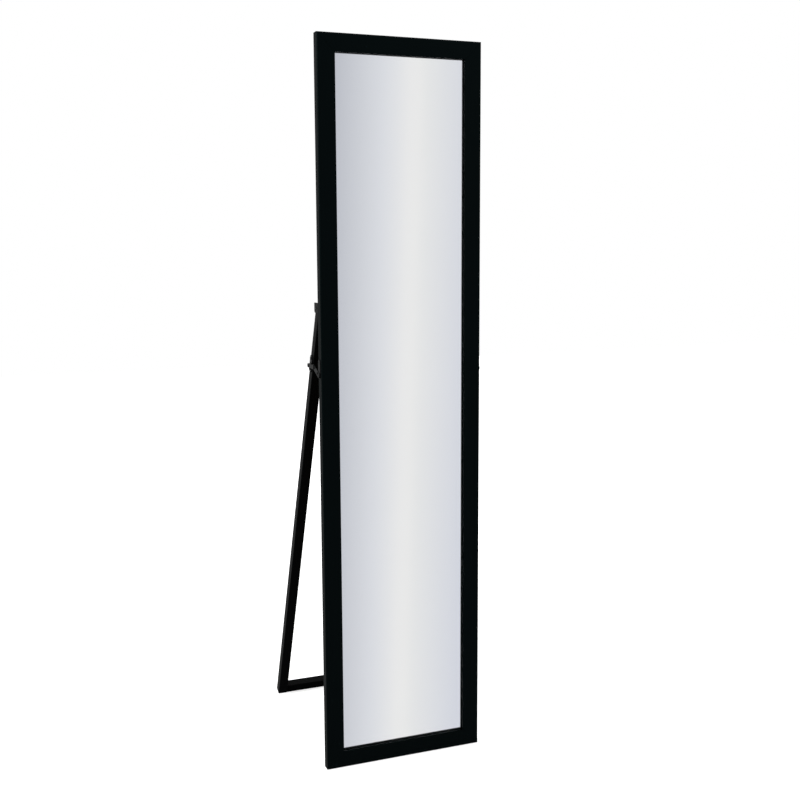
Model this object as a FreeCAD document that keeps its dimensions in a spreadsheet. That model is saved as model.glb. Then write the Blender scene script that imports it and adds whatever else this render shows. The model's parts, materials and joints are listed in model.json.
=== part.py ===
import FreeCAD, Part
import math
import os
import Sketcher

# A tall framed mirror that stands on the floor by itself. A pair of legs joined by a cross bar
# hangs from two brackets on the frame's back and opens like an easel. On each side a folding
# stay, two riveted straps, holds the leg open.
#
# X runs to the right as seen from the front, Y runs backwards, Z runs up, in millimetres.
# The origin lies on the floor, in the middle of the space that the standing object takes up.
#
# Most pieces are drawn in one of three working frames, and are placed by them:
#   the mirror's frame: origin at the front bottom edge, Y through the frame, Z up its face
#   the stand's frame: origin on the hinge line, Z up along the legs
#   each stay strap's frame: origin on one of its rivets, Y along the strap

# ---------------------------------------------------------------- driving sizes

DRIVING_SIZES = {
    # the black moulding round the mirror
    "frame_width": 362.0,
    "frame_height": 1560.0,
    "face_width": 38.0,
    "frame_depth": 22.0,
    "outer_rounding": 4.0,
    "back_rounding": 1.0,
    "bevel_width": 3.0,
    "bevel_depth": 2.0,
    "glass_recess": 6.0,
    "lip_overlap": 8.0,
    # what the moulding holds
    "glass_thickness": 3.0,
    "glass_edge_chamfer": 0.5,
    "pane_gap": 0.75,
    "panel_thickness": 3.0,
    "nail_thickness": 0.8,
    "nail_wing": 8.0,
    "nail_height": 10.0,
    "nail_outer_inset": 8.0,
    "nail_inner_inset": 21.0,
    "panel_point_thickness": 0.5,
    "panel_point_width": 10.0,
    "panel_point_bite": 5.0,
    "panel_point_overhang": 9.0,
    "panel_point_end_distance": 110.0,
    # how the mirror stands
    "lean": 0.6,
    "stand_angle": 21.45,
    "hinge_height": 1009.0,
    # the stand
    "leg_width": 22.5,
    "leg_depth": 21.5,
    "leg_rounding": 2.0,
    "cross_bar_height": 21.0,
    "dowel_radius": 3.0,
    "dowel_length": 30.0,
    "dowel_in_leg": 12.0,
    "dowel_spacing": 9.0,
    "dowel_chamfer": 0.8,
    "dowel_end_gap": 0.5,
    # the hinge brackets and their bolts
    "bracket_height": 21.0,
    "bracket_reach": 24.0,
    "bracket_base": 1.8,
    "cheek_thickness": 3.0,
    "cheek_gap": 0.3,
    "bracket_corner": 3.0,
    "bracket_rounding": 0.8,
    "leg_turning_gap": 0.3,
    "hinge_bolt_radius": 2.5,
    "hinge_head_radius": 4.5,
    "hinge_head_height": 1.0,
    "hinge_head_rounding": 0.6,
    "washer_thickness": 1.0,
    "washer_radius": 5.0,
    "nut_radius": 4.6,
    "nut_height": 4.0,
    "bolt_end": 1.0,
    "bracket_screw_pitch": 11.0,
    "bracket_screw_length": 16.0,
    # the folding stays
    "leg_rivet_drop": 135.5,
    "frame_rivet_drop": 140.0,
    "frame_rivet_depth": 13.25,
    "knee_rise": 7.0,
    "strap_thickness": 1.2,
    "strap_gap": 0.12,
    "rear_strap_width": 9.0,
    "front_strap_width": 10.5,
    "strap_edge": 0.25,
    "knee_rivet_radius": 2.0,
    "leg_rivet_radius": 2.0,
    "frame_rivet_radius": 1.5,
    "rivet_head_radius": 4.5,
    "rivet_head_height": 1.0,
    "rivet_head_rounding": 0.7,
    "frame_rivet_head_radius": 5.0,
    "knee_countersink": 0.5,
    "slot_travel": 10.8,
    "slot_side_play": 1.5,
    "stop_tab_length": 5.0,
    "stop_tab_thickness": 1.2,
    "stop_tab_gap": 0.1,
    "frame_plate_thickness": 1.5,
    "frame_plate_width": 13.0,
    "frame_plate_length": 40.0,
    "frame_plate_screw_rise": 14.0,
    "leg_plate_thickness": 2.5,
    "leg_plate_width": 14.0,
    "leg_plate_length": 40.0,
    "leg_plate_lift": 4.0,
    "plate_screw_pitch": 13.0,
    "plate_edge": 0.4,
    "leg_screw_pitch": 25.0,
    # wood screws
    "screw_shank_radius": 1.7,
    "screw_hole_radius": 1.9,
    "screw_sink": 1.3,
    "screw_tip": 3.0,
    "plate_screw_length": 13.0,
    "leg_screw_length": 14.0,
    "pan_head_radius": 3.4,
    "pan_head_height": 1.7,
    "pan_head_rounding": 1.1,
    "recess_length": 3.6,
    "recess_width": 0.8,
    "recess_depth": 0.9,
    # clearances
    "running_clearance": 0.05,
    "seat_clearance": 0.05,
    "hole_end_gap": 0.5,
}

# Sizes that follow from the driving ones. Angles are in degrees.
DERIVED_SIZES = {
    "half_width": "=frame_width / 2",
    "opening_half_width": "=frame_width / 2 - face_width",
    "rebate_half_width": "=frame_width / 2 - face_width + lip_overlap",
    "rebate_inset": "=face_width - lip_overlap",
    "panel_back": "=glass_recess + glass_thickness + panel_thickness",
    "open_angle": "=stand_angle + lean",
    "hinge_depth": "=frame_depth + bracket_base + leg_turning_gap + leg_depth / 2",
    "leg_inset": "=cheek_thickness + cheek_gap",
    "leg_outer": "=half_width - leg_inset",
    "leg_middle": "=leg_outer - leg_width / 2",
    "leg_inner": "=leg_outer - leg_width",
    # the lowest point of the rounded back edge touches the floor
    "front_edge_rise": "=back_rounding * (1 - cos(lean)) + (frame_depth - back_rounding) * sin(lean)",
    "hinge_floor_height": "=front_edge_rise + hinge_height * cos(lean) - hinge_depth * sin(lean)",
    "hinge_behind_edge": "=hinge_height * sin(lean) + hinge_depth * cos(lean)",
    # the front edge of the square-cut foot touches the floor
    "leg_length": "=(hinge_floor_height - leg_depth / 2 * sin(stand_angle)) / cos(stand_angle)",
    "foot_behind_edge": (
        "=hinge_behind_edge + leg_length * sin(stand_angle) + leg_depth / 2 * cos(stand_angle)"
    ),
    "rounding_behind_edge": "=outer_rounding * (cos(lean) + sin(lean) - 1)",
    "front_edge_back": "=-(foot_behind_edge + rounding_behind_edge) / 2",
    # the stay's two fixed rivets and its knee, in the mirror's frame
    "leg_rivet_depth": "=hinge_depth + leg_rivet_drop * sin(open_angle)",
    "leg_rivet_height": "=hinge_height - leg_rivet_drop * cos(open_angle)",
    "frame_rivet_height": "=hinge_height - frame_rivet_drop",
    "stay_reach": "=leg_rivet_depth - frame_rivet_depth",
    "stay_climb": "=leg_rivet_height - frame_rivet_height",
    "stay_span": "=sqrt(stay_reach * stay_reach + stay_climb * stay_climb)",
    "knee_depth": "=(leg_rivet_depth + frame_rivet_depth) / 2 - knee_rise * stay_climb / stay_span",
    "knee_height": "=(leg_rivet_height + frame_rivet_height) / 2 + knee_rise * stay_reach / stay_span",
    "strap_length": "=sqrt(stay_span * stay_span / 4 + knee_rise * knee_rise)",
    "stay_tilt": "=asin(stay_climb / stay_span) * 1 / 1deg",
    "knee_tilt": "=asin(knee_rise / strap_length) * 1 / 1deg",
    "front_strap_angle": "=stay_tilt + knee_tilt - lean",
    "rear_strap_angle": "=stay_tilt - knee_tilt - lean",
    # how far each layer of the stay stands out from the frame's side
    "front_strap_inner": "=frame_plate_thickness + strap_gap",
    "front_strap_outer": "=front_strap_inner + strap_thickness",
    "rear_strap_inner": "=front_strap_outer + strap_gap",
    "rear_strap_outer": "=rear_strap_inner + strap_thickness",
    "leg_plate_face": "=leg_plate_thickness - leg_inset",
}

PANEL_POINTS_PER_STILE = 6
PANEL_POINTS_PER_RAIL = 2
SIDES = {"left": -1, "right": 1}
ENDS = ("bottom", "top")

# two lengths closer than this are taken as equal
MATCH = 1e-4
# how a sketch names the ends of a line or an arc, the centre of an arc, and its own origin
START, END, CENTRE = 1, 2, 3
SKETCH_ORIGIN = (-1, START)
NUT_SIDES = 6
ALONG_X = FreeCAD.Vector(1, 0, 0)
ALONG_Y = FreeCAD.Vector(0, 1, 0)
# a placement with a turn in it, so that a bound angle turns the piece about the X axis
SLIGHTLY_TURNED = FreeCAD.Placement(FreeCAD.Vector(0, 0, 0), FreeCAD.Rotation(ALONG_X, 1))
QUARTER_TURN = 90

document = FreeCAD.newDocument("floor_mirror")
sheet = document.addObject("Spreadsheet::Sheet", "Sizes")


def fill_sheet():
    """Write each size on its own row: its name in column A, its value in column B."""
    row = 0
    for name, value in list(DRIVING_SIZES.items()) + list(DERIVED_SIZES.items()):
        row += 1
        sheet.set("A%d" % row, name)
        sheet.set("B%d" % row, str(value))
        sheet.setAlias("B%d" % row, name)
    document.recompute()


class Size:
    """A length that knows both its value and the expression it is bound by."""

    def __init__(self, text, value):
        self.text = text
        self.value = value

    def joined(self, sign, other, value):
        return Size("(%s %s %s)" % (self.text, sign, other.text), value)

    def __add__(self, other):
        other = as_size(other)
        return self.joined("+", other, self.value + other.value)

    def __sub__(self, other):
        other = as_size(other)
        return self.joined("-", other, self.value - other.value)

    def __mul__(self, other):
        other = as_size(other)
        return self.joined("*", other, self.value * other.value)

    def __truediv__(self, other):
        other = as_size(other)
        return self.joined("/", other, self.value / other.value)

    def __radd__(self, other):
        return as_size(other) + self

    def __rsub__(self, other):
        return as_size(other) - self

    def __rmul__(self, other):
        return as_size(other) * self

    def __neg__(self):
        return as_size(0) - self


def as_size(value):
    if isinstance(value, Size):
        return value
    return Size(repr(float(value)), float(value))


class Sizes:
    """Reads any named cell of the sheet as a Size."""

    def __getattr__(self, name):
        value = sheet.get(name)
        return Size("Sizes." + name, float(getattr(value, "Value", value)))


size = Sizes()
sub_parts = []


def cosine_and_sine(angle):
    """The cosine and the sine of an angle in degrees, as sizes."""
    radians = math.radians(angle.value)
    cosine = Size("cos(%s)" % angle.text, math.cos(radians))
    sine = Size("sin(%s)" % angle.text, math.sin(radians))
    return cosine, sine


def bind(item, path, value):
    """Give a property its value and bind it to the sheet."""
    item.setExpression(path, as_size(value).text)


# ---------------------------------------------------------------- placing


def to_side(side, distance):
    """A place across the mirror, measured from the middle towards one side."""
    return distance if side > 0 else -distance


def bind_place(piece, x, y, z, turn):
    """Turn a piece about the X axis and move it, bound to the sheet."""
    piece.Placement = SLIGHTLY_TURNED
    bind(piece, "Placement.Base.x", x)
    bind(piece, "Placement.Base.y", y)
    bind(piece, "Placement.Base.z", z)
    bind(piece, "Placement.Rotation.Angle", turn)


def in_room(depth, height):
    """The Y and Z in the room of a point of the mirror's frame, as a pair of sizes."""
    cosine, sine = cosine_and_sine(size.lean)
    back = size.front_edge_back + height * sine + depth * cosine
    up = size.front_edge_rise + height * cosine - depth * sine
    return back, up


def seat_on_mirror(piece):
    bind_place(piece, 0, size.front_edge_back, size.front_edge_rise, -size.lean)
    sub_parts.append(piece)


def seat_on_stand(piece):
    back = size.front_edge_back + size.hinge_behind_edge
    bind_place(piece, 0, back, size.hinge_floor_height, size.stand_angle)
    sub_parts.append(piece)


def seat_on_front_strap(piece):
    back, up = in_room(size.frame_rivet_depth, size.frame_rivet_height)
    bind_place(piece, 0, back, up, size.front_strap_angle)
    sub_parts.append(piece)


def seat_on_rear_strap(piece):
    back, up = in_room(size.knee_depth, size.knee_height)
    bind_place(piece, 0, back, up, size.rear_strap_angle)
    sub_parts.append(piece)


# ---------------------------------------------------------------- sketches and features


def new_body(label):
    body = document.addObject("PartDesign::Body", label)
    body.Label = label
    return body


def new_sketch(body, plane, name, offset=None):
    """A sketch on one of the body's own planes, moved along that plane's normal by offset."""
    face = [item for item in body.Origin.OriginFeatures if item.Role == plane][0]
    sketch = body.newObject("Sketcher::SketchObject", body.Label + "_" + name)
    sketch.AttachmentSupport = [(face, "")]
    sketch.MapMode = "FlatFace"
    if offset is not None:
        bind(sketch, "AttachmentOffset.Base.z", offset)
    return sketch


def pin_point(sketch, item, end, u, v):
    """Fix a point of a sketch item at (u, v), bound to the sheet."""
    for kind, value in (("DistanceX", as_size(u)), ("DistanceY", as_size(v))):
        constraint = Sketcher.Constraint(kind, *SKETCH_ORIGIN, item, end, value.value)
        index = sketch.addConstraint(constraint)
        sketch.setExpression("Constraints[%d]" % index, value.text)


def pin_radius(sketch, item, radius):
    """Fix the radius of a circle or an arc, bound to the sheet."""
    index = sketch.addConstraint(Sketcher.Constraint("Radius", item, as_size(radius).value))
    sketch.setExpression("Constraints[%d]" % index, as_size(radius).text)


def draw_outline(sketch, points):
    """A closed outline of straight lines through the points."""
    first = sketch.GeometryCount
    count = len(points)
    corners = [FreeCAD.Vector(as_size(u).value, as_size(v).value, 0) for u, v in points]
    for index in range(count):
        line = Part.LineSegment(corners[index], corners[(index + 1) % count])
        sketch.addGeometry(line, False)
    for index in range(count):
        after = first + (index + 1) % count
        sketch.addConstraint(Sketcher.Constraint("Coincident", first + index, END, after, START))
    for index, (u, v) in enumerate(points):
        pin_point(sketch, first + index, START, u, v)


def draw_box(sketch, left, right, low, high):
    draw_outline(sketch, [(left, low), (right, low), (right, high), (left, high)])


def draw_circle(sketch, u, v, radius):
    centre = FreeCAD.Vector(as_size(u).value, as_size(v).value, 0)
    circle = Part.Circle(centre, FreeCAD.Vector(0, 0, 1), as_size(radius).value)
    item = sketch.addGeometry(circle, False)
    pin_point(sketch, item, CENTRE, u, v)
    pin_radius(sketch, item, radius)


def draw_strap(sketch, start, end, radius):
    """A strap's outline: two parallel lines joined by a half circle round each end point."""
    ends = [FreeCAD.Vector(as_size(u).value, as_size(v).value, 0) for u, v in (start, end)]
    along = (ends[1] - ends[0]).normalize()
    across = FreeCAD.Vector(-along.y, along.x, 0) * as_size(radius).value
    angle = math.atan2(along.y, along.x)
    arcs = []
    for middle, first_angle in ((ends[1], angle - math.pi / 2), (ends[0], angle + math.pi / 2)):
        circle = Part.Circle(middle, FreeCAD.Vector(0, 0, 1), as_size(radius).value)
        arc = Part.ArcOfCircle(circle, first_angle, first_angle + math.pi)
        arcs.append(sketch.addGeometry(arc, False))
    far, near = arcs
    upper = sketch.addGeometry(Part.LineSegment(ends[1] + across, ends[0] + across), False)
    lower = sketch.addGeometry(Part.LineSegment(ends[0] - across, ends[1] - across), False)
    for before, after in ((far, upper), (upper, near), (near, lower), (lower, far)):
        sketch.addConstraint(Sketcher.Constraint("Tangent", before, END, after, START))
    pin_point(sketch, near, CENTRE, *start)
    pin_point(sketch, far, CENTRE, *end)
    pin_radius(sketch, far, radius)


def pad(body, sketch, length, reversed_way=False, both_ways=False):
    feature = body.newObject("PartDesign::Pad", sketch.Name + "_pad")
    feature.Profile = sketch
    feature.Reversed = reversed_way
    if both_ways:
        feature.SideType = "Symmetric"
    bind(feature, "Length", length)
    sketch.Visibility = False
    document.recompute()
    return feature


def pocket(body, sketch, length=None, reversed_way=False):
    """Cut a sketch into the body: to a depth, or through everything on both sides."""
    before = body.Shape.Volume
    feature = body.newObject("PartDesign::Pocket", sketch.Name + "_pocket")
    feature.Profile = sketch
    feature.Reversed = reversed_way
    if length is None:
        feature.Type = "ThroughAll"
        feature.SideType = "Symmetric"
    else:
        bind(feature, "Length", length)
    sketch.Visibility = False
    document.recompute()
    if body.Shape.Volume >= before:
        raise RuntimeError("%s cuts nothing" % feature.Name)
    return feature


def edges_where(shape, test):
    """The names of the edges whose middle point passes the test."""
    names = []
    for index, edge in enumerate(shape.Edges):
        middle = edge.valueAt((edge.FirstParameter + edge.LastParameter) / 2)
        if test(middle):
            names.append("Edge%d" % (index + 1))
    return names


def dress(body, kind, dimension, amount, test):
    """Round or chamfer the edges of the body whose middle point passes the test."""
    base = body.Tip
    feature = body.newObject("PartDesign::" + kind, body.Label + "_" + kind.lower())
    feature.Base = (base, edges_where(base.Shape, test))
    bind(feature, dimension, amount)
    base.Visibility = False
    document.recompute()
    return feature


def fillet(body, radius, test):
    return dress(body, "Fillet", "Radius", radius, test)


def chamfer(body, amount, test):
    return dress(body, "Chamfer", "Size", amount, test)


def close_to(value, target):
    return abs(value - as_size(target).value) < MATCH


def rim_test(axis, place, centre_u, centre_v, radius):
    """A test for the rim of a round hole whose axis is X or Y, at the given place on that axis."""
    def test(point):
        along, sideways = (point.x, point.y) if axis == "X" else (point.y, point.x)
        distance = math.hypot(sideways - as_size(centre_u).value, point.z - as_size(centre_v).value)
        return close_to(along, place) and close_to(distance, radius)

    return test


# ---------------------------------------------------------------- round pieces on the X axis


def rod(name, radius, span, side, axis=(0, 0)):
    """A cylinder along X on one side, spanning two distances from the middle.

    Its axis passes through the point (y, z)."""
    inner, outer = span
    cylinder = document.addObject("Part::Cylinder", name)
    across = FreeCAD.Rotation(ALONG_Y, QUARTER_TURN)
    cylinder.Placement = FreeCAD.Placement(FreeCAD.Vector(0, 0, 0), across)
    bind(cylinder, "Radius", radius)
    bind(cylinder, "Height", outer - inner)
    bind(cylinder, "Placement.Base.x", inner if side > 0 else -outer)
    bind(cylinder, "Placement.Base.y", axis[0])
    bind(cylinder, "Placement.Base.z", axis[1])
    return cylinder


def closed_rims(shape, test, rounding):
    """The round edges that pass the test, each with its rounding radius at both ends."""
    rims = []
    for index, edge in enumerate(shape.Edges):
        if edge.Closed and test(edge.valueAt(edge.FirstParameter)):
            rims.append((index + 1, rounding.value, rounding.value))
    return rims


def rounded_head(name, radius, span, rounding, side, axis=(0, 0)):
    """A flat round head whose outer rim is rounded."""
    head = rod(name + "_blank", radius, span, side, axis)
    document.recompute()
    rim = to_side(side, span[1])
    rounded = document.addObject("Part::Fillet", name)
    rounded.Base = head
    rounded.Edges = closed_rims(head.Shape, lambda p: close_to(p.x, rim), rounding)
    document.recompute()
    return rounded


def fused(name, pieces):
    union = document.addObject("Part::MultiFuse", name)
    union.Label = name
    union.Shapes = pieces
    return union


# ---------------------------------------------------------------- the frame


def rail_edge(end, inset):
    """A height up the mirror, measured inwards from the bottom or the top end."""
    return as_size(inset) if end == "bottom" else size.frame_height - inset


def draw_corner_nails(sketch):
    """Two L-shaped nails across each mitre, with their corners on the mitre's line."""
    half = size.nail_thickness / 2
    wing = size.nail_wing
    for side in SIDES.values():
        for end in ENDS:
            for inset in (size.nail_outer_inset, size.nail_inner_inset):
                across = [inset - half, inset + half, inset + wing]
                x = [to_side(side, size.half_width - value) for value in across]
                z = [rail_edge(end, value) for value in across]
                level_wing = [(x[0], z[0]), (x[2], z[0]), (x[2], z[1]), (x[1], z[1])]
                upright_wing = [(x[1], z[2]), (x[0], z[2])]
                draw_outline(sketch, level_wing + upright_wing)


def panel_point_places():
    """The middle of each retaining point: ("stile", side, height) or ("rail", end, x)."""
    places = []
    first = size.panel_point_end_distance
    step = (size.frame_height - 2 * first) / (PANEL_POINTS_PER_STILE - 1)
    for side in SIDES.values():
        for index in range(PANEL_POINTS_PER_STILE):
            places.append(("stile", side, first + index * step))
    for end in ENDS:
        for index in range(PANEL_POINTS_PER_RAIL):
            places.append(("rail", end, size.opening_half_width / 2 * (2 * index - 1)))
    return places


def draw_panel_points(sketch, holder):
    """The outlines of the points that one kind of moulding holds, or of all of them."""
    half = size.panel_point_width / 2
    for kind, where, middle in panel_point_places():
        if holder not in (kind, "all"):
            continue
        if kind == "stile":
            buried = to_side(where, size.rebate_half_width + size.panel_point_bite)
            free = to_side(where, size.rebate_half_width - size.panel_point_overhang)
            draw_box(sketch, buried, free, middle - half, middle + half)
        else:
            buried = rail_edge(where, size.rebate_inset - size.panel_point_bite)
            free = rail_edge(where, size.rebate_inset + size.panel_point_overhang)
            draw_box(sketch, middle - half, middle + half, buried, free)


def cut_fastener_slots(body, holder):
    """Slots in the moulding's back for the corner nails and in its rebate for the points."""
    nails = new_sketch(body, "XZ_Plane", "nail_slots", size.nail_height - size.frame_depth)
    draw_corner_nails(nails)
    pocket(body, nails, size.nail_height)
    points = new_sketch(body, "XZ_Plane", "panel_point_slots", -size.panel_back)
    draw_panel_points(points, holder)
    pocket(body, points, size.panel_point_thickness)


def bracket_screw_heights():
    half_pitch = size.bracket_screw_pitch / 2
    return [size.hinge_height - half_pitch, size.hinge_height + half_pitch]


def frame_plate_screw_heights():
    first = size.frame_rivet_height + size.frame_plate_screw_rise
    return [first, first + size.plate_screw_pitch]


def make_stile(name, side):
    """An upright length of the moulding, mitred at both ends."""
    body = new_body("frame_stile_" + name)
    outer = to_side(side, size.half_width)
    opening = to_side(side, size.opening_half_width)
    rebate = to_side(side, size.rebate_half_width)
    bevel = to_side(side, size.opening_half_width + size.bevel_width)
    profile = new_sketch(body, "XY_Plane", "profile")
    draw_outline(profile, [
        (outer, 0),
        (bevel, 0),
        (opening, size.bevel_depth),
        (opening, size.glass_recess),
        (rebate, size.glass_recess),
        (rebate, size.frame_depth),
        (outer, size.frame_depth),
    ])
    pad(body, profile, size.frame_height)
    back = size.frame_depth
    fillet(body, size.outer_rounding, lambda p: close_to(p.x, outer) and close_to(p.y, 0))
    fillet(body, size.back_rounding, lambda p: close_to(p.x, outer) and close_to(p.y, back))
    mitres = new_sketch(body, "XZ_Plane", "mitres")
    for end in ENDS:
        tip = (outer, rail_edge(end, 0))
        inner_corner = (opening, rail_edge(end, size.face_width))
        draw_outline(mitres, [tip, inner_corner, (opening, rail_edge(end, 0))])
    pocket(body, mitres)
    cut_fastener_slots(body, "stile")
    pilots = new_sketch(body, "XZ_Plane", "bracket_pilots", -size.frame_depth)
    pilot_radius = size.screw_shank_radius + size.seat_clearance
    for height in bracket_screw_heights():
        draw_circle(pilots, to_side(side, size.leg_middle), height, pilot_radius)
    pilot_depth = size.bracket_screw_length - size.bracket_base + size.hole_end_gap
    pocket(body, pilots, pilot_depth, reversed_way=True)
    side_pilots = new_sketch(body, "YZ_Plane", "plate_pilots", outer)
    for height in frame_plate_screw_heights():
        draw_circle(side_pilots, size.frame_rivet_depth, height, pilot_radius)
    rivet_hole_radius = size.frame_rivet_radius + size.seat_clearance
    draw_circle(side_pilots, size.frame_rivet_depth, size.frame_rivet_height, rivet_hole_radius)
    pilot_depth = size.plate_screw_length - size.frame_plate_thickness + size.hole_end_gap
    pocket(body, side_pilots, pilot_depth, reversed_way=side < 0)
    seat_on_mirror(body)


def make_rail(end):
    """A level length of the moulding, mitred at both ends."""
    body = new_body("frame_rail_" + end)
    profile = new_sketch(body, "YZ_Plane", "profile")
    outer = rail_edge(end, 0)
    opening = rail_edge(end, size.face_width)
    draw_outline(profile, [
        (0, outer),
        (0, rail_edge(end, size.face_width - size.bevel_width)),
        (size.bevel_depth, opening),
        (size.glass_recess, opening),
        (size.glass_recess, rail_edge(end, size.rebate_inset)),
        (size.frame_depth, rail_edge(end, size.rebate_inset)),
        (size.frame_depth, outer),
    ])
    pad(body, profile, size.frame_width, both_ways=True)
    back = size.frame_depth
    fillet(body, size.outer_rounding, lambda p: close_to(p.z, outer) and close_to(p.y, 0))
    fillet(body, size.back_rounding, lambda p: close_to(p.z, outer) and close_to(p.y, back))
    mitres = new_sketch(body, "XZ_Plane", "mitres")
    for side in SIDES.values():
        tip = (to_side(side, size.half_width), outer)
        inner_corner = (to_side(side, size.opening_half_width), opening)
        draw_outline(mitres, [tip, inner_corner, (to_side(side, size.half_width), opening)])
    pocket(body, mitres)
    cut_fastener_slots(body, "rail")
    seat_on_mirror(body)


def make_corner_nails():
    body = new_body("corner_v_nails")
    outline = new_sketch(body, "XZ_Plane", "outline", -size.frame_depth)
    draw_corner_nails(outline)
    pad(body, outline, size.nail_height)
    seat_on_mirror(body)


def make_panel_points():
    body = new_body("panel_points")
    outline = new_sketch(body, "XZ_Plane", "outline", -size.panel_back)
    draw_panel_points(outline, "all")
    pad(body, outline, size.panel_point_thickness, reversed_way=True)
    seat_on_mirror(body)


def make_sheet(label, front, thickness):
    """A flat sheet in the rebate: the glass or the panel behind it."""
    body = new_body(label)
    half = size.rebate_half_width - size.pane_gap
    low = size.rebate_inset + size.pane_gap
    outline = new_sketch(body, "XZ_Plane", "outline", -front)
    draw_box(outline, -half, half, low, size.frame_height - low)
    pad(body, outline, thickness, reversed_way=True)
    return body


def make_glass():
    body = make_sheet("mirror_glass", size.glass_recess, size.glass_thickness)
    chamfer(body, size.glass_edge_chamfer, lambda p: close_to(p.y, size.glass_recess))
    seat_on_mirror(body)


def make_back_panel():
    front = size.glass_recess + size.glass_thickness
    body = make_sheet("back_panel", front, size.panel_thickness)
    seat_on_mirror(body)


# ---------------------------------------------------------------- screws


def make_screw(name, length, head):
    """A wood screw that points down Z, its head's top at the origin, with a cross recess.

    A sunk head is a cone that ends flush. A pan head stands on the surface."""
    shank_top = size.screw_sink if head == "sunk" else as_size(0)
    shank = document.addObject("Part::Cylinder", name + "_shank")
    bind(shank, "Radius", size.screw_shank_radius)
    bind(shank, "Height", length - shank_top - size.screw_tip)
    bind(shank, "Placement.Base.z", -(length - size.screw_tip))
    tip = document.addObject("Part::Cone", name + "_tip")
    tip.Radius1 = 0
    bind(tip, "Radius2", size.screw_shank_radius)
    bind(tip, "Height", size.screw_tip)
    bind(tip, "Placement.Base.z", -length)
    if head == "sunk":
        cap = document.addObject("Part::Cone", name + "_head")
        bind(cap, "Radius1", size.screw_shank_radius)
        bind(cap, "Radius2", size.screw_shank_radius + size.screw_sink)
        bind(cap, "Height", size.screw_sink)
        bind(cap, "Placement.Base.z", -size.screw_sink)
        top = as_size(0)
    else:
        blank = document.addObject("Part::Cylinder", name + "_head_blank")
        bind(blank, "Radius", size.pan_head_radius)
        bind(blank, "Height", size.pan_head_height)
        document.recompute()
        cap = document.addObject("Part::Fillet", name + "_head")
        cap.Base = blank
        rims = closed_rims(
            blank.Shape, lambda p: close_to(p.z, size.pan_head_height), size.pan_head_rounding
        )
        cap.Edges = rims
        top = size.pan_head_height
    solid = fused(name + "_solid", [shank, tip, cap])
    arms = []
    arm_sizes = [(size.recess_length, size.recess_width), (size.recess_width, size.recess_length)]
    for index, (length, width) in enumerate(arm_sizes):
        arm = document.addObject("Part::Box", "%s_recess_%d" % (name, index + 1))
        bind(arm, "Length", length)
        bind(arm, "Width", width)
        bind(arm, "Height", size.recess_depth * 2)
        bind(arm, "Placement.Base.x", -length / 2)
        bind(arm, "Placement.Base.y", -width / 2)
        bind(arm, "Placement.Base.z", top - size.recess_depth)
        arms.append(arm)
    recess = fused(name + "_recess", arms)
    screw = document.addObject("Part::Cut", name)
    screw.Base = solid
    screw.Tool = recess
    document.recompute()
    return screw


def place_screws(label, screw, places, axis, angle):
    """A group of copies of one screw, each turned about an axis and set at (x, y, z)."""
    copies = []
    for index, place in enumerate(places):
        copy = document.addObject("App::Link", "%s_%d" % (label, index + 1))
        copy.LinkedObject = screw
        copy.Placement = FreeCAD.Placement(FreeCAD.Vector(0, 0, 0), FreeCAD.Rotation(axis, angle))
        for letter, value in zip("xyz", place):
            bind(copy, "Placement.Base." + letter, value)
        copies.append(copy)
    group = document.addObject("Part::Compound", label)
    group.Label = label
    group.Links = copies
    document.recompute()
    return group


# ---------------------------------------------------------------- the hinges


def make_hinge_bracket(name, side):
    """A U-shaped bracket behind the stile. The leg's top turns between its cheeks."""
    body = new_body("hinge_bracket_" + name)
    outer = size.half_width
    inner = size.leg_inner - size.leg_inset
    back = size.frame_depth + size.bracket_reach
    floor = size.frame_depth + size.bracket_base
    low = size.hinge_height - size.bracket_height / 2
    high = size.hinge_height + size.bracket_height / 2
    section = new_sketch(body, "XY_Plane", "section", low)
    corners = [
        (outer, size.frame_depth),
        (outer, back),
        (outer - size.cheek_thickness, back),
        (outer - size.cheek_thickness, floor),
        (inner + size.cheek_thickness, floor),
        (inner + size.cheek_thickness, back),
        (inner, back),
        (inner, size.frame_depth),
    ]
    draw_outline(section, [(to_side(side, x), y) for x, y in corners])
    pad(body, section, size.bracket_height)
    chamfer(body, size.bracket_corner, lambda p: close_to(p.y, back) and close_to(p.z, low))
    fillet(body, size.bracket_rounding, lambda p: close_to(p.y, back) and close_to(p.z, high))
    bore = new_sketch(body, "YZ_Plane", "bolt_hole")
    bore_radius = size.hinge_bolt_radius + size.running_clearance
    draw_circle(bore, size.hinge_depth, size.hinge_height, bore_radius)
    pocket(body, bore)
    screw_x = to_side(side, size.leg_middle)
    holes = new_sketch(body, "XZ_Plane", "screw_holes")
    for height in bracket_screw_heights():
        draw_circle(holes, screw_x, height, size.screw_hole_radius)
    pocket(body, holes)
    rims = [
        rim_test("Y", floor, screw_x, height, size.screw_hole_radius)
        for height in bracket_screw_heights()
    ]
    chamfer(body, size.screw_sink, lambda p: any(on_rim(p) for on_rim in rims))
    seat_on_mirror(body)


def make_hinge_bolt(name, side):
    """A bolt with a low round head, through the bracket and the leg's top."""
    label = "hinge_bolt_" + name
    inner_face = size.leg_inner - size.leg_inset
    end = inner_face - size.washer_thickness - size.nut_height - size.bolt_end
    top = size.half_width + size.hinge_head_height
    axis = (size.hinge_depth, size.hinge_height)
    shank = rod(label + "_shank", size.hinge_bolt_radius, (end, size.half_width), side, axis)
    head_span = (size.half_width, top)
    head = rounded_head(
        label + "_head", size.hinge_head_radius, head_span, size.hinge_head_rounding, side, axis
    )
    seat_on_mirror(fused(label, [shank, head]))


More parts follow.
